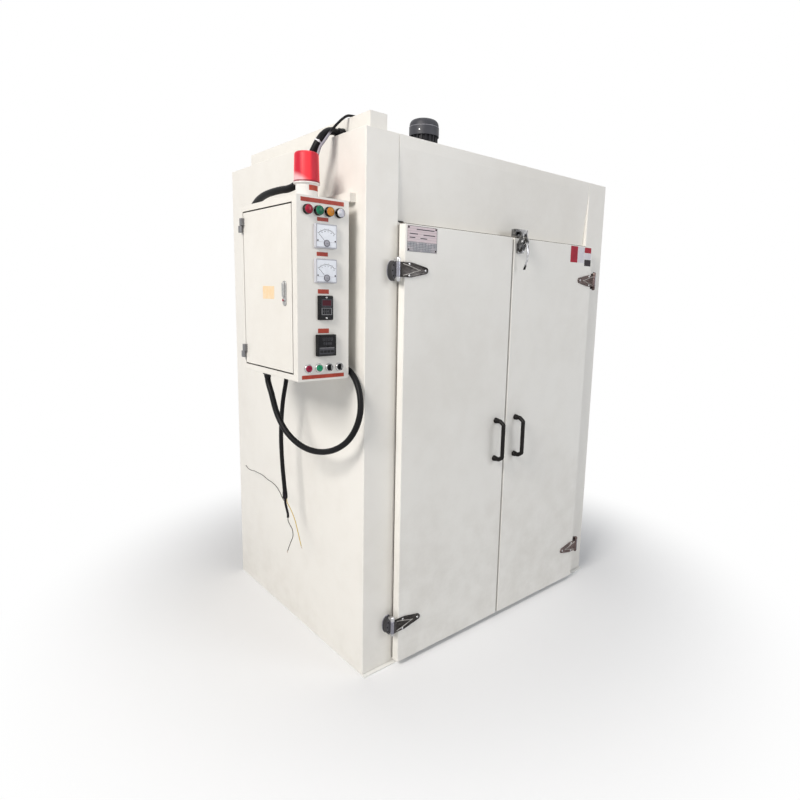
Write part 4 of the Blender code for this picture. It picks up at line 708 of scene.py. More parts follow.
def rounded_rectangle(width, height, radius, steps=5):
    """A rectangle about zero, anticlockwise: four quarter circles about its inner corners."""
    turn = np.linspace(0, pi / 2, steps + 1)
    corners = []
    for i, (side, up) in enumerate(((1, 1), (-1, 1), (-1, -1), (1, -1))):
        centre = np.array((side * (width / 2 - radius), up * (height / 2 - radius)))
        angle = turn + i * pi / 2
        corners.append(centre + radius * np.stack((np.cos(angle), np.sin(angle)), axis=1))
    return np.vstack(corners)


def plate(width, height, thick, corner=1.0, edge=0.3):
    """A flat plate about zero with round corners and a soft edge."""
    return moulded(rounded_rectangle(width, height, corner), soft_edge(thick, edge))


def strokes(starts, ends, width, height):
    """Printed lines: each one is a box along its segment, half a width to either side."""
    starts, ends = np.atleast_2d(starts).astype(float), np.atleast_2d(ends).astype(float)
    along = ends - starts
    along /= np.linalg.norm(along, axis=1, keepdims=True)
    side = np.stack((-along[:, 1], along[:, 0]), axis=1) * width / 2
    corners = np.stack((starts - side, ends - side, ends + side, starts + side), axis=1)
    low = np.concatenate((corners, np.zeros((*corners.shape[:2], 1))), axis=2)
    points = np.concatenate((low, low + (0, 0, height)), axis=1).reshape(-1, 3)
    box = np.array(((3, 2, 1, 0), (4, 5, 6, 7), (0, 1, 5, 4), (1, 2, 6, 5), (2, 3, 7, 6), (3, 0, 4, 7)))
    return points, (box[None] + 8 * np.arange(len(starts))[:, None, None]).reshape(-1, 4).tolist()


def filleted(points, radius, steps=6):
    """A path with its inner corners rounded: each corner becomes the parabola that leaves one straight and
    joins the next a radius away from the corner."""
    points = np.asarray(points, float)
    t = np.linspace(0, 1, steps + 1)[:, None]
    path = [points[:1]]
    for before, corner, after in zip(points, points[1:], points[2:]):
        start = corner + (before - corner) * radius / np.linalg.norm(before - corner)
        end = corner + (after - corner) * radius / np.linalg.norm(after - corner)
        path.append(start * (1 - t)**2 + corner * 2 * t * (1 - t) + end * t**2)
    return np.vstack((*path, points[-1:]))


def carried(path, section, across, scale=1.0):
    """A closed section carried along a path in one plane: a ring's point is the path's point plus the
    section's first coordinate along the plane's normal and its second along the path's own normal."""
    path, across = np.asarray(path, float), np.asarray(across, float)
    tangent = np.gradient(path, axis=0)
    tangent /= np.linalg.norm(tangent, axis=1, keepdims=True)
    normal = np.cross(tangent, across)
    section = np.broadcast_to(section, (len(path), *np.shape(section)[-2:])) * np.reshape(scale, (-1, 1, 1))
    return ring_shell(path[:, None] + section[:, :, :1] * across + section[:, :, 1:] * normal[:, None])


def circle(radius, steps):
    """The points of a circle, or of a hexagon where it has six steps."""
    angle = np.arange(steps) * tau / steps
    return radius * np.stack((np.cos(angle), np.sin(angle)), axis=1)


def screw_head(radius, height):
    """A domed head with a cross recess: the recess's rim is a circle that swells on four sides, with the
    fourth power of the cosine of twice the angle."""
    angle = np.arange(32) * tau / 32
    cross = radius * (0.20 + 0.30 * np.cos(2 * angle)**4)
    rings = [(radius, 0), (radius, 0.30), (0.94 * radius, 0.62), (0.76 * radius, 0.90), (0.58 * radius, 1.0)]
    rings += [(cross, 1.0), (0.85 * cross, 0.45)]
    return ring_shell(np.array([
        np.stack((r * np.cos(angle), r * np.sin(angle), h * height + 0 * angle), axis=1) for r, h in rings]))


def heads_at(head, places, out=0.0):
    """The same head at several places across and up."""
    return joined(*(moved(head, across, up, out) for across, up in places))


def hex_bolt(width, height, washer):
    """A hexagon head, its width measured over the flats, on a round washer."""
    head = moulded(circle(width / 2 / cos(pi / 6), 6), soft_edge(height, 0.12 * width))
    return joined(head, lathe(((washer, 0), (washer, 0.8), (washer - 0.3, 1.2), (width / 4, 1.2)), 28))


def number_print(words, size):
    """The shell of a printed number, from the built-in font, centred on zero."""
    curve = bpy.data.curves.new("number", "FONT")
    curve.body = words
    curve.size = MM * size
    curve.extrude = MM * 0.04
    curve.align_x = "CENTER"
    curve.align_y = "CENTER"
    source = bpy.data.objects.new("number", curve)
    bpy.context.scene.collection.objects.link(source)
    mesh = bpy.data.meshes.new_from_object(source.evaluated_get(bpy.context.evaluated_depsgraph_get()))
    points = np.empty(len(mesh.vertices) * 3)
    mesh.vertices.foreach_get("co", points)
    faces = [list(face.vertices) for face in mesh.polygons]
    bpy.data.objects.remove(source)
    bpy.data.meshes.remove(mesh)
    return points.reshape(-1, 3) / MM, faces


def declare(thing, body, stands_for):
    """Put a finished object in the scene under its body's empty, and hide the node that it replaces."""
    bpy.context.scene.collection.objects.link(thing)
    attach(thing, body)
    if stands_for:
        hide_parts(stands_for)


def piece(name, shell, finish, slot, body="oven", stands_for=None, smooth=38):
    """A named object at the origin made from a shell that stands in the world."""
    points, faces = shell
    mesh = bpy.data.meshes.new(name)
    mesh.from_pydata(points.tolist(), [], faces)
    outside = bmesh.new()
    outside.from_mesh(mesh)
    bmesh.ops.recalc_face_normals(outside, faces=outside.faces)
    outside.to_mesh(mesh)
    outside.free()
    mesh.shade_smooth()
    mesh.set_sharp_from_angle(angle=radians(smooth))
    mesh.materials.append(finish.material)
    declare(bpy.data.objects.new(name, mesh), body, stands_for)


def fit(name, shell, at, finish, slot, facing="front", **more):
    """A piece drawn in millimetres, stood at a place on one side of the oven."""
    piece(name, stand(shell, facing, at), finish, slot, **more)


# Cords

def smooth_route(points, spacing=0.004):
    """A smooth curve through the given points. Between two of them it is the cubic that has their places
    and slopes, and the slope at a point is the mean of its two chords' slopes, each weighted by the
    other's length."""
    route = np.array(points, float)
    chords = np.diff(route, axis=0)
    lengths = np.linalg.norm(chords, axis=1)[:, None]
    slopes = chords / lengths
    inner = (slopes[:-1] * lengths[1:] + slopes[1:] * lengths[:-1]) / (lengths[:-1] + lengths[1:])
    tangents = np.vstack((slopes[:1], inner, slopes[-1:]))
    smooth = [route[:1]]
    for i, chord in enumerate(lengths[:, 0]):
        t = np.linspace(0, 1, max(1, round(chord / spacing)) + 1)[1:, None]
        smooth.append(
            route[i] * (2 * t**3 - 3 * t**2 + 1) + route[i + 1] * (3 * t**2 - 2 * t**3)
            + chord * (tangents[i] * (t**3 - 2 * t**2 + t) + tangents[i + 1] * (t**3 - t**2)))
    return np.vstack(smooth)


def led(root, along, clear=0.0):
    """A cord's first two points: clear of a face by a neck's length, then straight on from it."""
    start = np.asarray(root) + np.asarray(along, float) * (clear + SEAT)
    return [start, start + np.asarray(along, float) * LEAD]


def cord(name, start, corner, offsets, end, radius, finish):
    """A round cord for the node of the same name, which it hides. Its route is its led start, the
    points that are offset from a corner, and its led end, and the return value is its smooth line."""
    points = smooth_route([*start, *(corner + np.array(offsets)), *reversed(end)])
    curve = bpy.data.curves.new(name, "CURVE")
    curve.dimensions = "3D"
    curve.bevel_depth = radius
    curve.bevel_resolution = 5
    curve.use_fill_caps = True
    spline = curve.splines.new("POLY")
    spline.points.add(len(points) - 1)
    spline.points.foreach_set("co", np.insert(points, 3, 1.0, axis=1).ravel())
    spline.use_smooth = True
    curve.materials.append(finish.material)
    thing = bpy.data.objects.new(name + "_line", curve)
    declare(thing, "oven", name)
    return points


def build_conduits():
    """The two black conduits, on the route points of the part's source; gives the roof conduit's line."""
    line = cord(
        "roof_conduit", led(WALL_GLAND_ROOT, (-1, 0, 0), NECK + GLAND_WALL + SEAT), ROOF_CORNER,
        ROOF_CONDUIT_POINTS, led(TRUNKING_ROOT, (-1, 0, 0), NECK),
        CONDUIT_RADIUS, CORD_BLACK)
    cord(
        "loop_conduit", led(LOOP_ROOT, (0, 0, -1), NECK), BOX_CORNER,
        LOOP_CONDUIT_POINTS, led(RAIL_FACE, (0, -1, 0), NECK),
        LOOP_RADIUS, CORD_BLACK)
    return line


def build_cables():
    """The motor cable, and the power cable with its core and bare wires, on the source's route points; gives
    the lower ends of the dark and the yellow wire."""
    down = (0, 0, -1)
    cord(
        "motor_cable", led(MOTOR_CABLE_ROOT, (0, 0, 1), NECK), ROOF_CORNER,
        MOTOR_CABLE_POINTS, led(MOTOR_CABLE_FOOT, (-1, 0, 0), NECK),
        MOTOR_CABLE_RADIUS, MOTOR_CORD)
    cord(
        "power_cable", led(POWER_ROOT, down, NECK), BOX_CORNER,
        POWER_CABLE_POINTS, led(SHEATH_FOOT, (0, 0, 1)),
        POWER_CABLE_RADIUS, CORD_BLACK)
    cord(
        "cable_core", led(SHEATH_FOOT, down), BOX_CORNER, CABLE_CORE_POINTS, led(CORE_FOOT, (0, 0, 1)),
        CORE_RADIUS, CORE_BLACK)
    dark = cord(
        "dark_wire", led(CORE_FOOT, down), BOX_CORNER, DARK_WIRE_POINTS, (),
        WIRE_RADIUS, WIRE_GREY)
    yellow = cord(
        "yellow_wire", led(SHEATH_FOOT + (0.0055, -0.0040, 0), down), BOX_CORNER, YELLOW_WIRE_POINTS, (),
        WIRE_RADIUS, WIRE_YELLOW)
    cord(
        "grey_wire", led(SHEATH_FOOT + (0, 0.0067, 0), down), BOX_CORNER, GREY_WIRE_POINTS, (),
        WIRE_RADIUS, WIRE_GREY)
    return dark[-1], yellow[-1]


def gland(name, root, facing, cord_radius, sleeve, stands_for=None):
    """A cord's gland: a hexagon nut, a domed cap and a sleeve that tapers on to the cord."""
    bore, outer = cord_radius / MM, (cord_radius + GLAND_WALL) / MM
    nut = moulded(circle(outer + 3.5, 6), soft_edge(9, 1.5))
    cap = lathe((
        (outer + 1.5, 6), (outer + 1.5, 17), (outer + 0.5, 19.5), (bore + 2.8, 21.5), (bore + 2.2, 24),
        (bore + 1, sleeve), (bore + 0.4, sleeve + 0.4)), 32)
    fit(name, joined(nut, cap), root, BLACK, "black_plastic", facing, stands_for=stands_for)


def build_glands():
    """The glands at the cords' ends, and the plain collar on the roof's trunking."""
    gland("loop_gland", LOOP_ROOT, "below", LOOP_RADIUS, 34)
    gland("power_gland", POWER_ROOT, "below", POWER_CABLE_RADIUS, 38)
    gland("motor_cable_gland", MOTOR_CABLE_ROOT, "roof", MOTOR_CABLE_RADIUS, 30)
    gland("wall_conduit_gland", WALL_GLAND_ROOT, "left", CONDUIT_RADIUS, 36, "wall_gland")
    fit("trunking_collar", lathe(TRUNKING_COLLAR, 36), TRUNKING_ROOT, BLACK, "black_plastic", "left")
    gland("motor_gland", MOTOR_CABLE_FOOT, "left", MOTOR_CABLE_RADIUS, 30)
    gland("rail_gland", RAIL_FACE, "front", LOOP_RADIUS - 0.0015, 26)


# Doors

def handed(outline, side):
    """An outline that reaches away from its pin, turned for the left or the right door's hinge."""
    return outline if side < 0 else outline[::-1] * (-1, 1)


def build_hinges():
    """Four surface hinges: a strap on the door, a cupped leaf on the post, and the pin with its lugs."""
    for word, side in SIDES:
        for level in ("upper", "lower"):
            name = f"{word}_{level}_hinge"
            pin = np.array((side * HINGE_PIN_X, HINGE_PIN_Y, middle(name + "_strap")[2]))
            build_strap(name, word + "_door", side, pin)
            build_leaf(name, side, pin)
            build_lugs(name, pin)


def build_strap(name, body, side, pin):
    """A strap: a thin plate with a rim and a round tip, two bright ribs that meet before it, three screws,
    and the rolled knuckle with the curl that joins it to the plate."""
    face = np.array((pin[0], DOOR_FACE - SEAT, pin[2]))
    turn = np.linspace(pi / 2 - 0.2, -pi / 2 + 0.2, 15)
    tip = STRAP_TIP_RADIUS * np.stack((np.cos(turn), np.sin(turn)), axis=1) + (STRAP_TIP, 0)
    outline = np.vstack((
        (STRAP_START, STRAP_HALF), (STRAP_SHOULDER, STRAP_HALF), tip, (STRAP_SHOULDER, -STRAP_HALF),
        (STRAP_START, -STRAP_HALF)))[::-1]
    base = stand(moulded(handed(outline, side), STRAP_EDGE), "front", face)
    curl = stand(prism(STRAP_CURL * (-side, 1), -CURL_HALF, CURL_HALF), "roof", pin)
    # The right strap's warm tint is a painted reflection.
    piece(name + "_strap_plate", joined(base, curl), HINGE_STEEL_WARM_REFLECTION if side > 0 else HINGE_STEEL, "hinge_steel",
          body, name + "_strap", 50)
    ribs = []
    for up in (-1, 1):
        path = filleted([(-side * x, -3.6, up * z) for x, z in STRAP_RIB], 8, 5)
        section = circle(1.0, 12)[:, ::-1] * (2.2, 1.7)
        ribs.append(carried(path, section, (0, 1, 0), np.linspace(1.0, 0.75, len(path))))
    fit(name + "_strap_ribs", joined(*ribs), face, RIB_STEEL, "hinge_steel", "roof", body=body, smooth=60)
    screws = heads_at(screw_head(4.2, 2.4), [(-side * x, z) for x, z in STRAP_SCREWS], STRAP_FLOOR)
    fit(name + "_strap_screws", screws, face, BRIGHT_STEEL, "hinge_steel", body=body)
    half, outer = KNUCKLE_HALF, KNUCKLE_RADIUS
    knuckle = lathe((
        (outer, 1 - half), (outer, half - 1), (outer - 1, half), (KNUCKLE_BORE, half), (KNUCKLE_BORE, -half),
        (outer - 1, -half)), 40, looped=True)
    fit(name + "_knuckle", knuckle, pin, KNUCKLE_STEEL, "hinge_steel", "roof", body=body)


def build_leaf(name, side, pin):
    """A leaf: a cup with a half-oval back that rises to a rim, its floor, the flange round its foot and three
    screws."""
    face = np.array((pin[0], CABINET_LOW.y - SEAT, pin[2] - LEAF_DROP))
    turn = np.linspace(-pi / 2, pi / 2, 25)
    back = np.stack((LEAF_REACH * np.cos(turn), LEAF_HALF * np.sin(turn)), axis=1)
    outline = handed(np.vstack((back, (-LEAF_BACK, LEAF_HALF), (-LEAF_BACK, -LEAF_HALF))), -side)
    fit(name + "_leaf", moulded(outline, LEAF_CUP), face, LEAF_EDGE, "hinge_steel",
        stands_for=name + "_block", smooth=50)
    # The right leaf's brown floor is a painted warm reflection.
    floor_finish = LEAF_GREY_WARM_REFLECTION if side > 0 else LEAF_GREY
    fit(name + "_leaf_floor", moulded(outline, LEAF_FLOOR), face, floor_finish, "hinge_steel")
    fit(name + "_leaf_flange", moulded(outline, LEAF_FLANGE), face, KNUCKLE_STEEL, "hinge_steel")
    screws = heads_at(screw_head(2.8, 1.4), [(side * x, z) for x, z in LEAF_SCREWS], LEAF_SCREW_FOOT)
    fit(name + "_leaf_screws", screws, face, BLACK, "hinge_steel")


def build_lugs(name, pin):
    """The pin and its two lugs, each on an arm from the leaf; a lower hinge's bottom lug is short."""
    shells = [lathe(((PIN_RADIUS, -PIN_HALF), (PIN_RADIUS, PIN_HALF)), 24)]
    for end, top in ((1, LUG_TOP), (-1, LUG_TOP if "upper" in name else SHORT_LUG_TOP)):
        points, faces = lathe((
            (8.4, 26.2), (8.4, top - 6), (7.2, top - 2.4), (5.2, top - 0.4), (3, top)), 36)
        shells += [(points * (1, 1, end), faces), prism(LUG_ARM, end * 26.6, end * (top - 7))]
    # The right lugs' warm tint is a painted reflection; the left ones are bright steel.
    finish = HINGE_STEEL_WARM_REFLECTION if pin[0] > 0 else BRIGHT_STEEL
    fit(name + "_lugs", joined(*shells), pin, finish, "hinge_steel", "roof")


def build_handles():
    """Two black pull handles: a round bar on two legs, chamfered between them, that thickens to its feet,
    and a round rose at each foot."""
    half, foot = HANDLE_HALF, SEAT / MM
    bend = half - HANDLE_CHAMFER
    corners = (
        (0, -foot, half), (0, -HANDLE_LEG, half), (0, -HANDLE_REACH, bend), (0, -HANDLE_REACH, -bend),
        (0, -HANDLE_LEG, -half), (0, -foot, -half))
    path = filleted(corners, 3.5)
    swell = np.interp(-foot - path[:, 1], (0, 20, 40), (1.22, 1.10, 1.0))
    bar = carried(path, circle(HANDLE_RADIUS, 28), (1, 0, 0), swell)
    roses = heads_at(lathe(HANDLE_ROSE, 32), ((0, -half), (0, half)), foot)
    for word, side in SIDES:
        at = (side * HANDLE_X, DOOR_FACE, HANDLE_Z)
        piece(word + "_pull", joined(stand(bar, "roof", at), stand(roses, "front", at)), HANDLE_BLACK,
              "black_plastic", word + "_door", word + "_handle", 50)


def sticker(name, face, left, right, bottom, top, corner, finish, slot, body="oven"):
    """A plain sticker or label on a front face, from its edges in metres."""
    sheet = plate((right - left) / MM, (top - bottom) / MM, 0.4, corner, 0.1)
    fit(name, sheet, ((left + right) / 2, face, (bottom + top) / 2), finish, slot, body=body)


def build_door_signs():
    """The left door's form plate, with rivets and blank rows and cells, and the right door's stickers."""
    fit("form_plate", plate(FORM_WIDTH, FORM_HEIGHT, FORM_THICK, 2), FORM_PLATE, RATING, "hinge_steel",
        body="left_door")
    inner, rim = FORM_WIDTH / 2 - 6, FORM_HEIGHT / 2 - 6
    rivets = heads_at(lathe(RIVET, 20), [(i * inner, j * rim) for i in (-1, 1) for j in (-1, 1)], FORM_THICK)
    fit("form_plate_rivets", rivets, FORM_PLATE, HINGE_STEEL, "hinge_steel", body="left_door")
    edge, rim = FORM_WIDTH / 2 - 1, FORM_HEIGHT / 2 - 1
    corners = np.array(((-edge, -rim), (edge, -rim), (edge, rim), (-edge, rim)))
    rows = np.linspace(FORM_TABLE_LOW, FORM_TABLE_HIGH, 6)
    cells = np.linspace(-56, 56, 9)
    lines = joined(
        strokes(corners, np.roll(corners, -1, axis=0), 1.2, 0.1),
        strokes([(-edge, row) for row in rows], [(edge, row) for row in rows], 0.7, 0.1),
        strokes([(x, FORM_TABLE_LOW) for x in cells], [(x, FORM_TABLE_HIGH) for x in cells], 0.6, 0.1),
        strokes(
            ((-28, 33), (-60, 17), (4, 15.5), (-60, 4), (-10, 3)),
            ((56, 33), (-22, 17), (60, 15.5), (-34, 4), (22, 3)), 3, 0.12))
    fit("form_plate_lines", moved(lines, out=FORM_THICK), FORM_PLATE, INK, "black_plastic", body="left_door")
    for name, left, right, bottom, top, finish in (
            ("sticker_red_tall", 0.4010, 0.4560, 1.6200, 1.6935, STICKER_RED),
            ("sticker_pale_tall", 0.4590, 0.5095, 1.6210, 1.6920, STICKER_GREY),
            ("sticker_red_small", 0.5110, 0.5640, 1.6680, 1.6930, STICKER_RED),
            ("sticker_pale_small", 0.5125, 0.5655, 1.6380, 1.6670, STICKER_GREY),
            ("sticker_black_small", 0.5130, 0.5650, 1.6075, 1.6370, STICKER_BLACK)):
        sticker(name, DOOR_FACE, left, right, bottom, top, 1.5, finish, "hinge_steel", "right_door")


def build_seals_and_gap_shade():
    """Dark pieces that are painted shade in the gaps: a brown seal lip round the back of each door's rim,
    whose edge shows as the dark line of the gap, a strip under the header, and a black wedge at its left end.
    """
    width, height = (DOOR_HIGH.x - DOOR_LOW.x) / MM - 2.4, (DOOR_HIGH.z - DOOR_LOW.z) / MM - 2.4
    outline = rounded_rectangle(width, height, 1, 2)
    inner = outline * (width - 10) / width
    lip = ring_shell(level_rings((outline, -0.4), (outline, 4.2), (inner, 4.2), (inner, -0.4)), looped=True)
    x, _, z = middle("right_door")
    for word, side in SIDES:
        # A seal lip behind each door's rim, made dark so that its edge is painted shade in the gap round the
        # door.
        fit(word + "_door_lip", lip, (side * x, DOOR_FACE + 0.035, z), SEAL_AND_GAP_SHADE, "gasket_rubber", "back",
            body=word + "_door")
    # A dark strip under the header and a black wedge at its left end: dark pieces that are painted shade in
    # shadowed gaps.
    fit("header_gap_shade_strip", strokes((-574, 0), (574, 0), 2.6, 1.2),
        (0, CABINET_LOW.y - SEAT, HEADER_BOTTOM - 0.0017), SEAL_AND_GAP_SHADE, "gasket_rubber")
    fit("header_end_gap_shade_wedge", moulded(HEADER_GAP_SHADE_WEDGE, ((0, 0), (0, 4))),
        (HEADER_END_X, HEADER_FOOT_Y - 0.0004, HEADER_BOTTOM + 0.0042), BLACK, "black_plastic")


def build_latch():
    """The latch's boss and screw on its base; its lever, a blade with an oval section that bows out by half
    a sine wave and hangs from an eye; and the pin's domed ends."""
    x, pivot_y, pivot_z = LATCH_PIVOT
    fit("latch_boss", lathe(LATCH_BOSS, 36), (x - 0.0085, DOOR_FACE - LATCH_PLATE, 1.6500), HINGE_STEEL,
        "latch_chrome", body="right_door")
    fit("latch_base_screws", screw_head(4.2, 2.2), (x + 0.0125, DOOR_FACE - SEAT - LATCH_PLATE, 1.6420),
        BRIGHT_STEEL, "latch_chrome", body="right_door")
    steps = np.linspace(0, 1, 33)[:, None]
    bow = np.hstack((0 * steps, -4 - 16 * np.sin(pi * steps), LEVER_TOP - LEVER_LENGTH * steps))
    widths = np.interp(steps, *LEVER_WIDTHS)
    oval = circle(1.0, 24)
    section = np.stack((oval[:, 0] * widths, oval[:, 1] * LEVER_THICK + 0 * widths), axis=2)
    blade = stand(carried(bow, section, (1, 0, 0)), "roof", LATCH_PIVOT)
    eye = stand(lathe(LEVER_EYE, 32, looped=True), "right", LATCH_PIVOT)
    piece("latch_lever_blade", joined(blade, eye), LEVER_CHROME, "latch_chrome", "latch_lever",
          "latch_lever", 50)
    points, faces = lathe(PIN_DOME, 24)
    ends = [
        stand((points * (1, 1, sign), faces), "right", (edge, pivot_y, pivot_z))
        for edge, sign in ((LATCH_LOW.x, -1), (LATCH_HIGH.x, 1))]
    piece("latch_pin_heads", joined(*ends), BRIGHT_STEEL, "latch_chrome", "right_door")


# Control box

def build_labels():
    """The panel's two long strips and four short labels, the box door's square, and the beacon's label, which
    is a sheet bent round the beacon's foot."""
    edges = [
        ("label_top_strip", -0.936, -0.775, 1.7370, 1.7505),
        ("label_bottom_strip", -0.937, -0.774, 1.1645, 1.1775)]
    edges += [(f"label_small_{i}", x - 0.021, x + 0.021, low, high) for i, (x, low, high) in enumerate((
        (-0.856, 1.6815, 1.6935), (-0.858, 1.5700, 1.5830), (-0.8545, 1.4480, 1.4625),
        (-0.8545, 1.3170, 1.3325)))]
    for name, left, right, bottom, top in edges:
        sticker(name, BOX_FACE, left, right, bottom, top, 0.8, LABEL_RED, "beacon_red")
    fit("sticker_orange", plate(88, 44, 0.4, 3, 0.1), (BOX_SIDE, -0.303, 1.4475), STICKER_ORANGE,
        "wire_yellow", "left", body="control_box_door")
    angle = np.linspace(radians(-108), radians(-45), 15)
    ray = np.stack((np.cos(angle), np.sin(angle), 0 * angle), axis=1)
    corners = ((37.1, -8.5), (37.4, -8.5), (37.4, 8.5), (37.1, 8.5))
    sheet = ring_shell(np.stack([ray * radius + (0, 0, up) for radius, up in corners], axis=1))
    fit("label_beacon", sheet, (*BEACON_CENTRE[:2], 1.7950), LABEL_RED, "beacon_red", "roof")


def build_lamps():
    """Four pilot lamps: a dark sleeve round each one's side, and a smaller coloured dome on top."""
    slots = {"red": "button_red", "green": "button_green", "amber": "wire_yellow", "white": "meter_white"}
    arc = quarter_arc(12, pi / 2 - 0.06)
    dome = lathe(arc * (LAMP_DOME_RADIUS, LAMP_DOME_RISE) + (0, LAMP_DOME_FOOT))
    for x, (word, slot) in zip(CONTROL_X, slots.items()):
        at = (x, BOX_FACE, LAMP_Z)
        fit(f"lamp_collar_{word}", lathe(LAMP_COLLAR), at, HINGE_STEEL, "black_plastic", smooth=50)
        fit(f"lamp_lens_{word}", dome, at, LAMP_LENSES[word], slot, smooth=60)


def build_buttons():
    """Bright bezels, two dished push caps, and two selectors with a bar and a white mark."""
    places = [(x, BOX_FACE, BUTTON_Z) for x in CONTROL_X]
    bezel = lathe(BEZEL, looped=True)
    bezels = joined(*(stand(bezel, "front", at) for at in places))
    piece("button_bezels", bezels, BRIGHT_STEEL, "latch_chrome")
    for word, at, finish in (("red", places[0], BUTTON_RED), ("green", places[1], BUTTON_GREEN)):
        name = word + "_button"
        fit(word + "_push_cap", lathe(PUSH_CAP, 44), at, finish, "button_" + word, body=name,
            stands_for=name, smooth=60)
    for word, at in (("left", places[2]), ("right", places[3])):
        name = word + "_selector"
        knob = joined(lathe(KNOB_BASE, 44), moulded(rounded_rectangle(6.4, 20, 2.8), KNOB_BAR))
        fit(name + "_knob", knob, at, BLACK, "black_plastic", body=name, stands_for=name, smooth=50)
        mark = moved(plate(1.6, 15, 0.2, 0.4, 0.1), up=1, out=KNOB_TOP)
        fit(name + "_mark", mark, at, WHITE, "meter_white", body=name)


def meter_print(top):
    """A dial's print: an arc about the pivot from 135 to 45 degrees with ticks across it, every fifth one
    longer, a needle near its zero, and numbers up to the top one along a smaller arc."""
    angle = np.radians(np.linspace(135, 45, DIAL_TICKS))
    ray = np.stack((np.cos(angle), np.sin(angle)), axis=1)
    arc = ray * DIAL_RADIUS + METER_PIVOT
    reach = np.where(np.arange(DIAL_TICKS) % DIAL_STEP == 0, 48.0, 45.5)[:, None]
    needle = np.array((cos(radians(134)), sin(radians(134))))
    prints = [
        strokes(arc, ray * reach + METER_PIVOT, 0.7, 0.08), strokes(arc[:-1], arc[1:], 0.9, 0.08),
        strokes(needle * 10 + METER_PIVOT, needle * 40.5 + METER_PIVOT, 0.9, 0.3)]
    for k in range(0, DIAL_TICKS, DIAL_STEP):
        number = number_print(str(top * k // (DIAL_TICKS - 1)), 4.2)
        prints.append(moved(number, *(ray[k] * 38 + METER_PIVOT), 0.04))
    return joined(*prints)


def build_meters():
    """Two panel meters: a case with a stepped rim, a printed dial, its lower cover under a seam, a round cap
    with a ring and a slot over the pivot, and two screws."""
    for word, top in METER_TOPS:
        name = word + "_meter"
        at = np.array((METER_MIDDLE, BOX_FACE - SEAT, middle(name)[2]))
        face = at - (0, MM * METER_FACE, 0)
        fit(name + "_case", moulded(rounded_rectangle(80, 78, 3), METER_RIM), at, METER_CASE, "meter_white",
            stands_for=name, smooth=50)
        fit(name + "_dial", plate(71.5, 69.5, 0.3, 2, 0.1), face, DIAL, "meter_white")
        fit(name + "_print", moved(meter_print(top), out=0.3), face, INK, "black_plastic")
        fit(name + "_cover", moved(plate(70, 15, 0.9, 1.2), up=-26.8), face, DIAL, "meter_white")
        fit(name + "_seam", strokes((-35, -19), (35, -19), 0.9, 0.4), face, CAP_GREY, "meter_white")
        fit(name + "_pivot", moved(lathe(METER_CAP, 44), *METER_PIVOT), face, CAP_GREY, "meter_white")
        slot = joined(strokes((-3, 0), (3, 0), 0.9, 4.1), lathe(METER_RING, 44, looped=True))
        fit(name + "_slot", moved(slot, *METER_PIVOT), face, KEY_GREY, "black_plastic")
        screws = heads_at(screw_head(2.6, 1.2), ((-32.5, -15), (32.5, -15)), 0.3)
        fit(name + "_screws", screws, face, HINGE_STEEL, "hinge_steel")


def framed_window(width, height, rim, depth):
    """A raised rim round a window: a rounded rectangle carried up its outer side, over and down inside."""
    return moulded(rounded_rectangle(width, height, 1.5), (
        (0, 0), (0, depth), (rim * 0.3, depth * 1.15), (rim * 0.7, depth * 1.15), (rim, depth),
        (rim, depth * 0.35), (rim * 1.2, depth * 0.35)))


def build_timer():
    """The timer: a black case, a dark red display, a framed set of number wheels, and two screws."""
    x, _, z = middle("timer")
    at = np.array((x, BOX_FACE - SEAT, z))
    face = at - (0, MM * TIMER_FACE, 0)
    black = "black_plastic"
    fit("timer_case", moulded(rounded_rectangle(56, 81, 2.5), TIMER_RIM), at, BLACK, black,
        stands_for="timer", smooth=50)
    fit("timer_upper_rim", moved(framed_window(39, 24, 2.2, 1), up=TIMER_DISPLAY_UP), face, KEY_GREY, black)
    fit("timer_lower_rim", moved(framed_window(40, 24, 1, 0.8), up=TIMER_WHEELS_UP), face, LINE_GREY, black)
    fit("timer_display", moved(plate(33, 18, 0.6, 1, 0.2), up=TIMER_DISPLAY_UP), face, GLASS_RED, black)
    wheels = heads_at(plate(7, 18.5, 0.6, 1, 0.2), [(x, TIMER_WHEELS_UP) for x in TIMER_WHEELS])
    fit("timer_wheels", wheels, face, GLASS_BLACK, black)
    digits = [
        moved(number_print(word, 8), x, TIMER_WHEELS_UP, 0.64) for x, word in zip(TIMER_WHEELS, "030")]
    fit("timer_digits", joined(*digits), face, LINE_GREY, "meter_white")
    screws = heads_at(screw_head(3, 1.6), ((0, 34.2), (0, -33.5)))
    fit("timer_screws", screws, face, BRIGHT_STEEL, "latch_chrome")


def segment_digit(x, middle_up, size):
    """The seven short bars of a digit: strokes between neighbours of six points, a little apart."""
    half = size * 0.30
    points = np.array([(x + side * half, middle_up + up * size / 2) for side in (-1, 1) for up in (1, 0, -1)])
    starts, ends = points[[0, 1, 2, 0, 1, 3, 4]], points[[3, 4, 5, 1, 2, 4, 5]]
    return strokes(starts * 0.92 + ends * 0.08, ends * 0.92 + starts * 0.08, 1, 0.1)


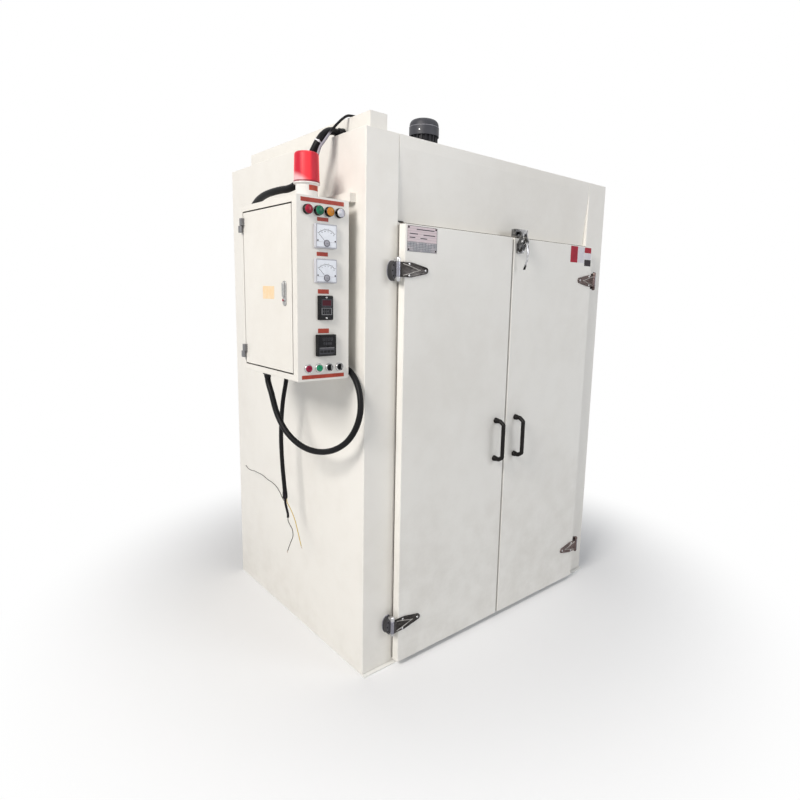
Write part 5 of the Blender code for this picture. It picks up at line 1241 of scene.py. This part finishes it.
def build_controller():
    """The temperature controller: a bezel, a dark display with unlit segments, a rule and four keys."""
    x, _, z = middle("temperature_controller")
    at = np.array((x, BOX_FACE - SEAT, z))
    face = at - (0, MM * CONTROLLER_FACE, 0)
    black = "black_plastic"
    fit("controller_case", moulded(rounded_rectangle(72, 72, 2), CONTROLLER_RIM), at, BLACK, black,
        stands_for="temperature_controller", smooth=50)
    fit("controller_display", moved(plate(60, 33, 0.4, 1, 0.1), up=13), face, GLASS_BLACK, black)
    digits = [
        segment_digit((k - 1.2) * pitch, up, size)
        for up, size, pitch in ((20.5, 10, 10.5), (6.5, 7.5, 8.5)) for k in range(4)]
    fit("controller_segments", moved(joined(*digits), out=0.4), face, SEGMENT, black)
    fit("controller_rule", strokes((-28.5, -8.5), (28.5, -8.5), 2.8, 0.6), face, LINE_GREY, "wire_grey")
    fit("controller_key_band", moved(plate(58, 19, 0.5, 1, 0.1), up=-19.5), face, KEY_GREY, black)
    keys = heads_at(plate(11, 8.5, 1.4, 1.5, 0.5), [(x, -20.5) for x in CONTROLLER_KEYS], 0.4)
    fit("controller_keys", keys, face, BLACK, black)


def build_box_lock():
    """The lock of the box's door: a case with a raised grip, and a barrel with a red button."""
    _, y, z = middle("control_box_lock")
    at = np.array((BOX_SIDE - SEAT, y, z))
    door = "control_box_door"
    case = moulded(rounded_rectangle(24, 82, 9), LOCK_BASE)
    grip = moved(moulded(rounded_rectangle(14, 50, 5), LOCK_GRIP), up=12)
    fit("box_lock_case", joined(case, grip), at, ZINC, "lock_grey", "left", body=door,
        stands_for="control_box_lock", smooth=50)
    centre = at - (0, 0, 0.0225)
    fit("box_lock_barrel", lathe(LOCK_BARREL, 32), centre, ZINC, "lock_grey", "left", body=door)
    fit("box_lock_button", lathe(LOCK_BUTTON, 28), centre, BUTTON_RED, "button_red", "left", body=door)


def build_beacon():
    """The beacon: a smooth lens on a skirt, its crown a quarter oval, over a white foot with a step."""
    at = np.array((*BEACON_CENTRE[:2], BEACON_LOW.z))
    crown = quarter_arc(7) * (10, 9.5) + (30.5, 88.8)
    cap = lathe(np.vstack((BEACON_SKIRT, crown, BEACON_TOP)), 64)
    fit("beacon_cap", cap, at, BEACON_RED, "beacon_red", "roof", stands_for="beacon_lens", smooth=60)
    fit("beacon_foot", lathe(BEACON_FOOT, 64), at - (0, 0, MM * BEACON_FOOT_HEIGHT + SEAT), WHITE,
        "beacon_white", "roof", stands_for="beacon_base", smooth=40)


# Roof

def build_motor_details():
    """The motor's bolts on its plate and body, its terminal cover, and the cowl's screws."""
    plate_top = ROOF + SEAT + MM * MOTOR_PLATE
    bolts = joined(
        heads_at(hex_bolt(13, 7, 10), [(i * 95, j * 95) for i in (-1, 1) for j in (-1, 1)]),
        heads_at(hex_bolt(8, 5, 6), [(72 * cos(a), 72 * sin(a)) for a in np.arange(4) * pi / 2 + pi / 4], 14))
    fit("motor_bolts", bolts, (0, 0, plate_top), BRIGHT_STEEL, "hinge_steel", "roof")
    cover_at = (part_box("fan_motor")[0].x, 0, plate_top + 0.095)
    fit("terminal_cover", plate(76, 66, 4, 5, 2), cover_at, MOTOR_GREY, "motor_paint", "left")
    heads = []
    for turn in (radians(-148), radians(-28), radians(92)):
        out = np.array((cos(turn), sin(turn), 0))
        points, faces = screw_head(3.8, 2.6)
        axes = np.array(((-sin(turn), cos(turn), 0), (0, 0, 1), out))
        heads.append((points @ axes + out * 70.8, faces))
    at = (middle("motor_cowl")[0], 0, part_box("motor_cowl")[0].z + 0.020)
    fit("cowl_screws", joined(*heads), at, BRIGHT_STEEL, "hinge_steel", "roof")


def build_cowl():
    """The motor's cowl: a skirt, a raised ledge, and a dome whose profile is a rounded quarter oval, the
    cosine and sine to the power 0.72, with a shallow step at its crown."""
    at = (0, 0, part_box("motor_cowl")[0].z)
    dome = quarter_arc(9, 1.15)**0.72 * (37.5, 34.5) + (32, 42.5)
    fit("cowl_shell", lathe(np.vstack((COWL_SKIRT, dome, COWL_CROWN)), 72), at, MOTOR_GREY, "motor_paint",
        "roof", stands_for="motor_cowl", smooth=30)
    fit("cowl_ledge", lathe(COWL_LEDGE, 72, looped=True), at, CAP_GREY, "motor_paint", "roof")


def build_tie(line):
    """The white tie round the roof conduit above the beacon, square to its line, with its head."""
    k = int(np.argmin(np.abs(line[:, 2] - TIE_HEIGHT) + 10 * (line[:, 2] < 1.9)))
    along = line[k + 1] - line[k - 1]
    along /= np.linalg.norm(along)
    side = np.cross(along, (0, 0, 1.0))
    side /= np.linalg.norm(side)
    axes = np.array((side, np.cross(along, side), along))
    inner = CONDUIT_RADIUS / MM + 0.1
    band = lathe(((inner, -2.4), (inner + 1.3, -2.2), (inner + 1.3, 2.2), (inner, 2.4)), 36, looped=True)
    knot = moulded(rounded_rectangle(6, 7, 1.2), soft_edge(4, 0.8))
    knot = (knot[0][:, (2, 0, 1)] + (inner + 0.3, 0, 0), knot[1])
    points, faces = joined(band, knot)
    piece("conduit_tie", (MM * points @ axes + line[k], faces), TIE_WHITE, "meter_white")


def build_wire_ends(roots):
    """The tape round the power cable's end, and three bare strands that spread from each wire's end."""
    points, faces = lathe(CABLE_TAPE, 28)
    lean = np.array(((1, 0, 0), (0, 1, 0), (0, 0.05, 1)))
    fit("power_cable_tape", (points @ lean, faces), SHEATH_FOOT, CORE_BLACK, "cord_black", "roof")
    strands = []
    for root, fall in zip(roots, ((0, 0.6, -1), (0, -0.8, -1))):
        for spread in (-0.7, 0.0, 0.8):
            step = np.array(fall) + (0.3 * spread, spread, 0.2 * abs(spread))
            step *= 11 / np.linalg.norm(step)
            path = (-0.1 * step, 0.45 * step, step + (0, 0, 1.2))
            strands.append(stand(carried(path, circle(0.6, 8), (1, 0, 0)), "roof", root))
    piece("wire_strands", joined(*strands), COPPER, "wire_yellow")


# Studio

def build_stage():
    """A pale floor that keeps the shadow near the oven and fades to the background far from it."""
    made = Finish("pale_floor", Base_Color=(0.90, 0.91, 0.93), Roughness=0.9, Specular_IOR_Level=0.1)
    flat = made.stretched(1, 1, 0)
    distance = made.node("ShaderNodeVectorMath", {"operation": "LENGTH"}, {0: flat}, "Value")
    far = made.between(distance, FLOOR_NEAR, FLOOR_FAR) * made.seen()
    glow = made.node("ShaderNodeEmission", sockets={"Color": (1, 1, 1), "Strength": 1.0})
    blend = made.node("ShaderNodeMixShader", sockets={0: far, 1: Wire(made.shader.outputs[0]), 2: glow})
    put(made.tree.nodes["Material Output"].inputs["Surface"], blend)
    half = FLOOR_SIZE / 2
    corners = [(x, y, -SEAT) for x, y in ((-half, -half), (half, -half), (half, half), (-half, half))]
    mesh = bpy.data.meshes.new("floor")
    mesh.from_pydata(corners, [], [(0, 1, 2, 3)])
    mesh.materials.append(made.material)
    floor = bpy.data.objects.new("floor", mesh)
    bpy.context.scene.collection.objects.link(floor)


def lamp(name, place, aim, size, power, colour):
    """A square soft lamp that faces a point."""
    data = bpy.data.lights.new(name, "AREA")
    data.size = size
    data.energy = power
    data.color = colour
    thing = bpy.data.objects.new(name, data)
    thing.location = place
    thing.rotation_euler = (Vector(aim) - Vector(place)).to_track_quat("-Z", "Y").to_euler()
    bpy.context.scene.collection.objects.link(thing)


def build_light():
    """The world's even light, white where it is seen, and three soft lamps."""
    world = bpy.data.worlds.new("studio")
    bpy.context.scene.world = world
    world.use_nodes = True
    sky = Nodes(world.node_tree)
    seen = sky.seen()
    shown = sky.tree.nodes["Background"]
    put(shown.inputs["Color"], sky.mix(AMBIENT_TONE, (1, 1, 1), seen))
    put(shown.inputs["Strength"], AMBIENT + seen * (1 - AMBIENT))
    for facts in LAMPS:
        lamp(*facts)


def build_camera():
    """The camera at the photograph's own place, turned by the three axes that were solved for it."""
    data = bpy.data.cameras.new("camera")
    data.sensor_width = 36.0
    data.lens = CAMERA_LENS
    data.shift_x, data.shift_y = CAMERA_SHIFT
    data.clip_end = 100.0
    thing = bpy.data.objects.new("camera", data)
    turn = Matrix((CAMERA_RIGHT, CAMERA_UP, CAMERA_BACK)).transposed()
    thing.matrix_world = Matrix.Translation(CAMERA_PLACE) @ turn.to_4x4()
    bpy.context.scene.collection.objects.link(thing)
    bpy.context.scene.camera = thing


build_camera()
roof_line = build_conduits()
wire_ends = build_cables()
build_glands()
finish_nodes()
build_hinges()
build_handles()
build_door_signs()
build_seals_and_gap_shade()
build_latch()
build_labels()
build_lamps()
build_buttons()
build_meters()
build_timer()
build_controller()
build_box_lock()
build_beacon()
build_motor_details()
build_cowl()
build_tie(roof_line)
build_wire_ends(wire_ends)
build_stage()
build_light()
bpy.context.scene.view_settings.view_transform = "Standard"
